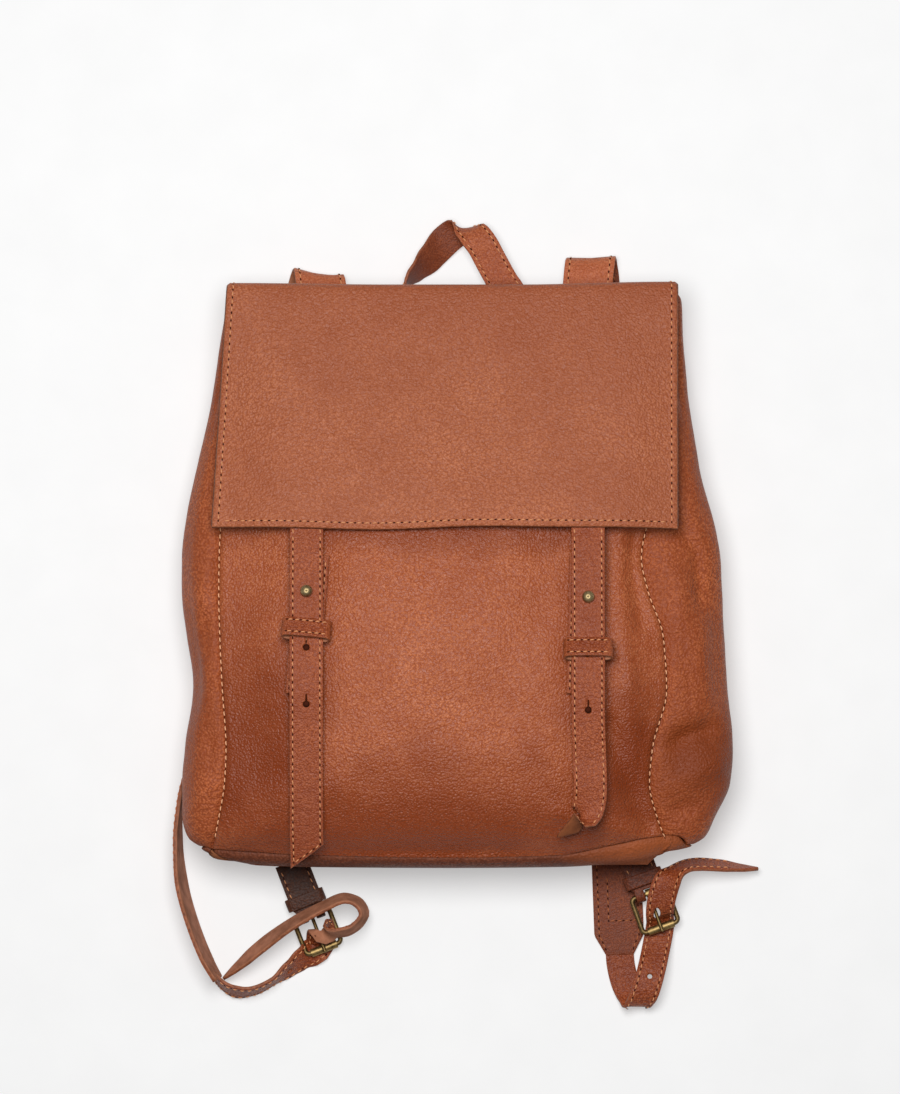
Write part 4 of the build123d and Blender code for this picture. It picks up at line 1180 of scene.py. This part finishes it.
# Straps as stations: a point on the middle line, and the direction across the strap
HANDLE = [
    ((34.8, -21.5, SEAM_END_Z), (1, 0, 0)), ((34.5, -8, SEAM_END_Z), (1, 0, 0)),
    ((33.8, -5, SEAM_END_Z), (1, 0.15, 0)), ((29.6, 1.2, 14.2), (0.9, 0.43, 0)),
    ((22.5, 14, 14.6), (0.9, 0.43, 0.05)), ((16.4, 25, 15.6), (0.95, 0.3, 0)),
    ((10.6, 31.4, 13.5), (1, 0.06, 0)), ((4.6, 33.2, 8.5), (1, 0, -0.06)),
    ((-4, 28, 6.5), (0.8, -0.5, -0.2)), ((-14, 16.6, 8), (0.62, -0.48, -0.55)),
    ((-23, 7, 9.6), (0.35, -0.3, -0.88)), ((-29, 0.8, 9.8), (0.1, -0.1, -0.95)),
    ((-33.5, -3.2, 11.2), (-0.6, 0.1, -0.6)), ((-36, -5.8, 13.6), (-0.95, 0.05, -0.15)),
    ((-37, -8, SEAM_END_Z), (-1, 0, 0)), ((-37, -21.5, SEAM_END_Z), (-1, 0, 0)),
]
LOW = STRAP_LEATHER / 2
ACROSS_RIGHT = (1, 0.035, 0)
SHOULDER_RIGHT = [
    ((80, -22, SEAM_END_Z), ACROSS_RIGHT), ((80.5, -6, SEAM_END_Z), ACROSS_RIGHT),
    ((81, 3, 14.5), ACROSS_RIGHT), ((81.8, 10.6, 13), ACROSS_RIGHT),
    ((82.5, 14.8, 9.8), ACROSS_RIGHT), ((83.3, 15, 5.6), ACROSS_RIGHT),
    ((84, 10.4, 2.4), ACROSS_RIGHT), ((85, 4, LOW), ACROSS_RIGHT),
    ((92.3, -190, LOW), ACROSS_RIGHT), ((99.7, -386, LOW), ACROSS_RIGHT),
    ((100.4, -405.5, LOW), ACROSS_RIGHT),
]
FLAT_LEFT = (0.969, -0.247, 0)
SHOULDER_LEFT = [
    ((-79, -22, SEAM_END_Z), (1, 0, 0)), ((-79.6, -6, SEAM_END_Z), (1, -0.05, 0)),
    ((-80.4, 1, 13.6), (1, -0.1, 0)), ((-81.4, 4.8, 11), (1, -0.14, 0)),
    ((-82.4, 5.8, 7.4), (1, -0.18, 0)), ((-83.6, 4.2, 3.8), (1, -0.22, 0)),
    ((-85, 0, 1.8), FLAT_LEFT), ((-87, -7.5, LOW), FLAT_LEFT),
    ((-109, -112, LOW), FLAT_LEFT), ((-128, -195, LOW), FLAT_LEFT),
    ((-137, -228, 4.6), (0.92, -0.25, -0.3)), ((-145.5, -256, 10), (0.72, -0.2, -0.66)),
    ((-154, -281, 13.8), (0.38, -0.1, -0.92)), ((-161.5, -300, 14.9), (0.12, 0, -1)),
    ((-165.8, -318, 14.9), (0.05, 0, -1)), ((-166.6, -338, 14.9), (0.1, 0, -1)),
    ((-164.2, -363, 14.9), (0.17, 0, -0.98)), ((-157.5, -387, 14.9), (0.17, 0, -0.98)),
    ((-149, -408, 14.9), (0.17, 0, -0.98)), ((-142.6, -419.5, 14.9), (0.17, 0, -0.98)),
]
SHOULDERS = {"left": SHOULDER_LEFT, "right": SHOULDER_RIGHT}


def make_handle():
    """The grab handle; its visible face is the one of negative heights."""
    ribbon = Ribbon(HANDLE)
    swing = ("bag", "handle", (0, -9.0, SEAM_END_Z), (0, -1.0, SEAM_END_Z))
    strip("handle_leather", swing, ("grab_handle", "handle_end_left", "handle_end_right"),
          straight(ribbon, HANDLE_WIDTH), lambda s, u, h: ribbon.place(s, u, -h), HANDLE_GRAIN, LINED)
    rows = edge_rows(ribbon.surface(-LEATHER / 2), HANDLE_WIDTH / 2 - 2.4, 12, ribbon.length - 12)
    sew("handle_stitches", swing, rows, up=-1.0)


def make_shoulder(side):
    ribbon = Ribbon(SHOULDERS[side])
    end = ribbon.length
    if side == "right":
        lining = LINED
        widths = [(0, SHOULDER_WIDTH), (-13.5, SHOULDER_WIDTH), (-11.5, 29.0), (-1.0, 17.5), (END, 16.0)]
    else:
        lining = FLESH
        widths = [(0, SHOULDER_WIDTH), (-14.0, SHOULDER_WIDTH), (END, 24.0)]
    strip(f"shoulder_leather_{side}", "bag", [f"shoulder_strap_{side}"], taper(ribbon, widths),
          ribbon.place, lining, SHOULDER, STRAP_LEATHER, spacing=3.0)
    inset = SHOULDER_WIDTH / 2 - 3.0
    if side == "right":
        edges = [[(20, u), (end - 13.0, u), (end - 4.0, u * 0.7)] for u in (-inset, inset)]
        box = [[(end - 48.0, -6.0), (end - 21.0, -6.0)], [(end - 21.0, -6.0), (end - 21.0, inset)]]
        sew("shoulder_stitches_right", "bag",
            [(ribbon.surface(STRAP_LEATHER / 2), track) for track in edges + box], material=FADED_THREAD)
    sew(f"shoulder_outer_stitches_{side}", "bag",
        edge_rows(ribbon.surface(-STRAP_LEATHER / 2), inset, 8, end - 14), up=-1.0)


# ---- Buckles and adjuster straps ----
# The middle of each buckle's bar, and the direction from it to the chape's sewn end
BUCKLES = {
    "left": ((-86.4, -380.6, 6.4), (-0.36, 0.933, 0)),
    "right": ((117.7, -367.7, 9.4), (-0.341, 0.94, 0)),
}
PUNCH_PITCH = {"left": 34.0, "right": 43.0}
LOW_ADJUSTER = LEATHER / 2
ADJUSTER_RIGHT = [
    ((100.2, -396, LOW_ADJUSTER), (1, 0, 0)), ((100.8, -410, LOW_ADJUSTER), (1, 0.03, 0)),
    ((103.6, -422, 2), (1, 0.05, 0)), ((107.8, -430.8, 4.8), (1, -0.2, 0)),
    ((110.4, -435.2, 9.4), (1, 0, 0)), ((113.2, -431.8, 14), (1, 0.2, 0)),
    ((116.4, -424, 16.2), (1, 0, 0)), ((119.8, -411.5, 13.6), (0.99, -0.03, 0)),
    ((122.4, -400, 7.4), (0.98, 0.12, 0)),
    ((124.2, -391, 4.6), (0.97, 0.24, 0)), ((124.8, -386, 5.2), (0.95, 0.3, 0)),
    ((124.6, -382.4, 8.6), (0.95, 0.3, 0.04)), ((124.4, -380.2, 12.8), (0.95, 0.26, 0.08)),
    ((124.6, -375.5, 16.6), (0.97, 0.2, 0.1)), ((126, -368, 19), (0.98, 0.06, 0.12)),
    ((129, -359.6, 21), (0.92, -0.02, 0.3)), ((135.6, -353, 19.2), (0.5, -0.2, 0.82)),
    ((146, -350.2, 13.6), (0, -0.34, 0.94)), ((160.5, -350.8, 9.9), (-0.05, -0.34, 0.94)),
    ((173.5, -352.3, 8.8), (0, -0.3, 0.95)), ((184, -353, 7.8), (0, -0.3, 0.95)),
]
ADJUSTER_LEFT = [
    ((-147.5, -408.5, 10), (0.17, 0, -0.98)), ((-145.6, -413.6, 9.3), (0.1, -0.1, -0.98)),
    ((-141, -421.8, 9.1), (-0.1, -0.25, -0.95)), ((-132, -427.2, 9), (-0.05, -0.4, -0.91)),
    ((-121, -426.6, 8.9), (0.05, -0.28, -0.95)), ((-109.5, -421, 8.4), (0.1, -0.2, -0.97)),
    ((-99.5, -413.6, 7.4), (0.3, -0.4, -0.86)), ((-92, -407.6, 5.2), (0.55, -0.4, -0.7)),
    ((-85.6, -403.4, 3.2), (0.88, 0, -0.2)), ((-81.4, -400.2, 2.3), (0.93, 0.34, 0)),
    ((-80.9, -394.2, 5.2), (0.93, 0.34, 0.1)), ((-79.6, -389.8, 12.8), (0.86, 0.2, 0.36)),
    ((-74.6, -391.2, 18.4), (0.35, 0.2, 0.9)), ((-66, -390.6, 20.4), (-0.1, 0.3, 0.95)),
    ((-58.4, -386.6, 21.2), (-0.2, 0.2, 0.95)), ((-54.2, -379.8, 21.2), (-0.28, 0, 0.95)),
    ((-57.4, -373.2, 21.2), (-0.18, -0.2, 0.95)), ((-66, -370.2, 21.2), (0.05, -0.26, 0.95)),
    ((-79.4, -375.6, 21.2), (0.1, -0.26, 0.95)), ((-98, -386, 18.6), (0.18, -0.26, 0.95)),
    ((-117, -400, 13.4), (0.22, -0.3, 0.93)), ((-129, -410.4, 10.4), (0.22, -0.3, 0.93)),
    ((-139.4, -419.4, 8.6), (0.22, -0.3, 0.93)),
]
ADJUSTERS = {"left": ADJUSTER_LEFT, "right": ADJUSTER_RIGHT}


def buckle_axes(side):
    """A buckle's middle, the direction to its chape, and the direction along its bar."""
    origin, x_dir = (np.array(v, float) for v in BUCKLES[side])
    return origin, x_dir, np.cross([0, 0, 1], unit(x_dir))


def buckle_point(side, x, z):
    origin, x_dir, _ = buckle_axes(side)
    return origin + unit(x_dir) * x + np.array([0, 0, z])


def prong_crossing(ribbon, side):
    """Where the prong passes through the strap: distance along it, and across it."""
    origin, x_dir, _ = buckle_axes(side)
    tip_rise = np.array([0, 0, 3.9])
    neck, tip = 2.3, 23.5
    line = np.linspace(origin - x_dir * neck, origin - x_dir * tip + tip_rise, 60)[4:50]
    gap = np.linalg.norm(ribbon.line[:, None] - line[None], axis=2)
    i, j = np.unravel_index(gap.argmin(), gap.shape)
    return ribbon.length_at[i], (line[j] - ribbon.line[i]) @ ribbon.side[i]


def make_adjuster(side):
    ribbon = Ribbon(ADJUSTERS[side])
    w, end = ADJUSTER_WIDTH, ribbon.length
    widths = [(0, w), (-34.0, w), (-20.0, 0.9 * w), (-8.0, 0.5 * w), (END, 1.6)]
    slot_s, slot_u = prong_crossing(ribbon, side)
    slot_half, slot_shift = [5.4, 2.1], 1.6
    slot = circle(0, 0, 1.0) * slot_half + [slot_s + slot_shift, slot_u]
    holes = [slot, circle(slot_s - PUNCH_PITCH[side], 0, 1.5)]      # for the prong, and a free one
    strip(f"adjuster_leather_{side}", "bag", [f"adjuster_strap_{side}"], taper(ribbon, widths),
          ribbon.place, FLESH if side == "left" else DEEP_STRAP, DEEP_STRAP, holes=holes, spacing=2.0)
    inset, outer = w / 2 - 2.2, ribbon.surface(-LEATHER / 2)
    rows = [(outer, [(4, u), (end - 34, u), (end - 18, u * 0.8)]) for u in (-inset, inset)]
    sew(f"adjuster_stitches_{side}", "bag", rows, up=-1.0)


def make_chape(side):
    """The doubled strip around the buckle's bar, with a slot for the prong, and its keeper."""
    reach = 34.0 if side == "left" else 22.0
    radius = 2.8
    low = -radius
    over = low + LEATHER + 0.1
    places = [(reach, over), (reach * 0.7, over), (13.0, over + 0.1), (6.5, 1.2), (3.2, 2.5), (0, radius)]
    for angle in (120, 150, 180, 210, 240):
        a = math.radians(angle)
        places.append((radius * math.cos(a), radius * math.sin(a)))
    places += [(0, low), (6.0, low), (13.0, low), (reach * 0.7, low), (reach, low)]
    bar_dir = buckle_axes(side)[2]
    ribbon = Ribbon([(buckle_point(side, x, z), bar_dir) for x, z in places], samples=30)
    turn = ribbon.nearest(buckle_point(side, -radius, 0))
    half, waist, gap = CHAPE_WIDTH / 2, 8.2, 2.5
    widths = [(0, -half, half), (turn - 11, -half, half), (turn - 8, -waist, waist),
              (turn + 8, -waist, waist), (turn + 11, -half, half), (ribbon.length, -half, half)]
    slot = [(turn - 7.5, -gap), (turn + 7.5, -gap), (turn + 7.5, gap), (turn - 7.5, gap)]
    place = outward_place(ribbon, buckle_point(side, reach / 2, -1))
    strip(f"chape_leather_{side}", "bag", [f"chape_{side}"], band_outline(widths), place, SHADED_CHAPES[side],
          DARK_FLESH, holes=[slot], spacing=1.6)
    face = ribbon_face(place, LEATHER / 2)
    rows = edge_rows(face, half - 2.4, 3, turn - 12)
    rows.append((face, [(turn - 13.5, -half + 3), (turn - 13.5, half - 3)]))
    sew(f"chape_stitches_{side}", "bag", rows, up=face_sign(face, 8.0))

    keeper_x, wall, low, high, width = 9.4, 1.6, -4.1, 3.3, 7.6
    centre = buckle_point(side, keeper_x, (low + high) / 2)
    ribbon = loop_ribbon(CHAPE_WIDTH + 0.8 + wall, high - low + wall, 2.2, centre, -bar_dir,
                         BUCKLES[side][1])
    strip(f"chape_keeper_leather_{side}", "bag", [f"chape_keeper_{side}"], straight(ribbon, width),
          outward_place(ribbon, centre), SHADED_CHAPES[side], DARK_FLESH, wall, spacing=1.4, rounding=0.6,
          weld=True)


# ---- Hardware ----
def dress_hardware():
    """The pieces that keep their shape from the frame get the brass."""
    for side in SIDES:
        for kind in ("stud_screw", "buckle_frame", "prong", "roller"):
            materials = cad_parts[f"{kind}_{side}"].data.materials
            materials.clear()
            materials.append(BRASS)


def make_stud(side, sides=40):
    """A turned button stud: base, neck and a domed head with a small dimple."""
    low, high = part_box(f"stud_{side}")
    base, top = low.z / MM, high.z / MM
    neck_top = top - 3.9
    profile = [(0.05, base), (3.3, base), (3.4, base + 0.15), (3.4, base + 0.75), (3.2, base + 0.9),
               (2.0, base + 0.95), (2.0, neck_top), (3.0, neck_top), (3.5, neck_top + 0.35)]
    for k in range(1, 9):
        angle = k / 10 * math.pi / 2
        profile.append((3.65 * math.cos(angle) + 0.02, neck_top + 0.6 + 3.0 * math.sin(angle)))
    profile += [(0.75, neck_top + 3.5), (0.45, neck_top + 3.36), (0.02, neck_top + 3.22)]
    points = [(CLOSURE_X[side] + r * math.cos(a), STUD_Y[side] + r * math.sin(a), z)
              for r, z in profile for a in around(sides)]
    faces = tube_faces(len(profile), sides)
    finish_piece(mesh_object(f"stud_brass_{side}", points, faces, [STUD_BRASS]), "bag", "antique_brass",
                 f"stud_{side}")


# ---- Stage: lengths in metres ----
def make_stage():
    """A pale floor under one large soft light."""
    size = 6.0
    mesh = bpy.data.meshes.new("floor")
    corners = [(-size, -size, 0), (size, -size, 0), (size, size, 0), (-size, size, 0)]
    mesh.from_pydata(corners, [], [(0, 1, 2, 3)])
    mesh.materials.append(floor_paper())
    floor = add_object("floor", mesh)
    world = bpy.data.worlds.new("studio")
    world.use_nodes = True
    background = world.node_tree.nodes["Background"]
    background.inputs["Color"].default_value = (1, 1, 1, 1)
    background.inputs["Strength"].default_value = 0.14
    bpy.context.scene.world = world
    data = bpy.data.lights.new("overhead", "AREA")
    data.shape = "DISK"
    data.size = 0.85
    data.energy = 31.0
    light = add_object("overhead", data)
    light.location = (-0.1, 0.3, 1.7)
    light.rotation_euler = (-light.location).to_track_quat("-Z", "Y").to_euler()


def make_camera():
    """Straight above, far away with a long lens."""
    view_height = 0.6564        # what the taller side of the picture takes in on the table
    distance = 5.5
    data = bpy.data.cameras.new("camera")
    data.sensor_width = 36.0
    data.lens = data.sensor_width * distance / view_height
    data.clip_end = 20.0
    camera = add_object("camera", data)
    middle = placed([-2.4, -158.4, 0])
    camera.location = (middle[0], middle[1], distance + 0.05)
    bpy.context.scene.camera = camera
    bpy.context.scene.view_settings.view_transform = "Standard"


make_camera()
make_stage()
make_shell()
make_seam_stitches()
make_flap()
for side_name in SIDES:
    make_closure(side_name)
    make_keeper(side_name)
    make_backing(side_name)
    make_shoulder(side_name)
    make_adjuster(side_name)
    make_chape(side_name)
    make_stud(side_name)
make_handle()
dress_hardware()
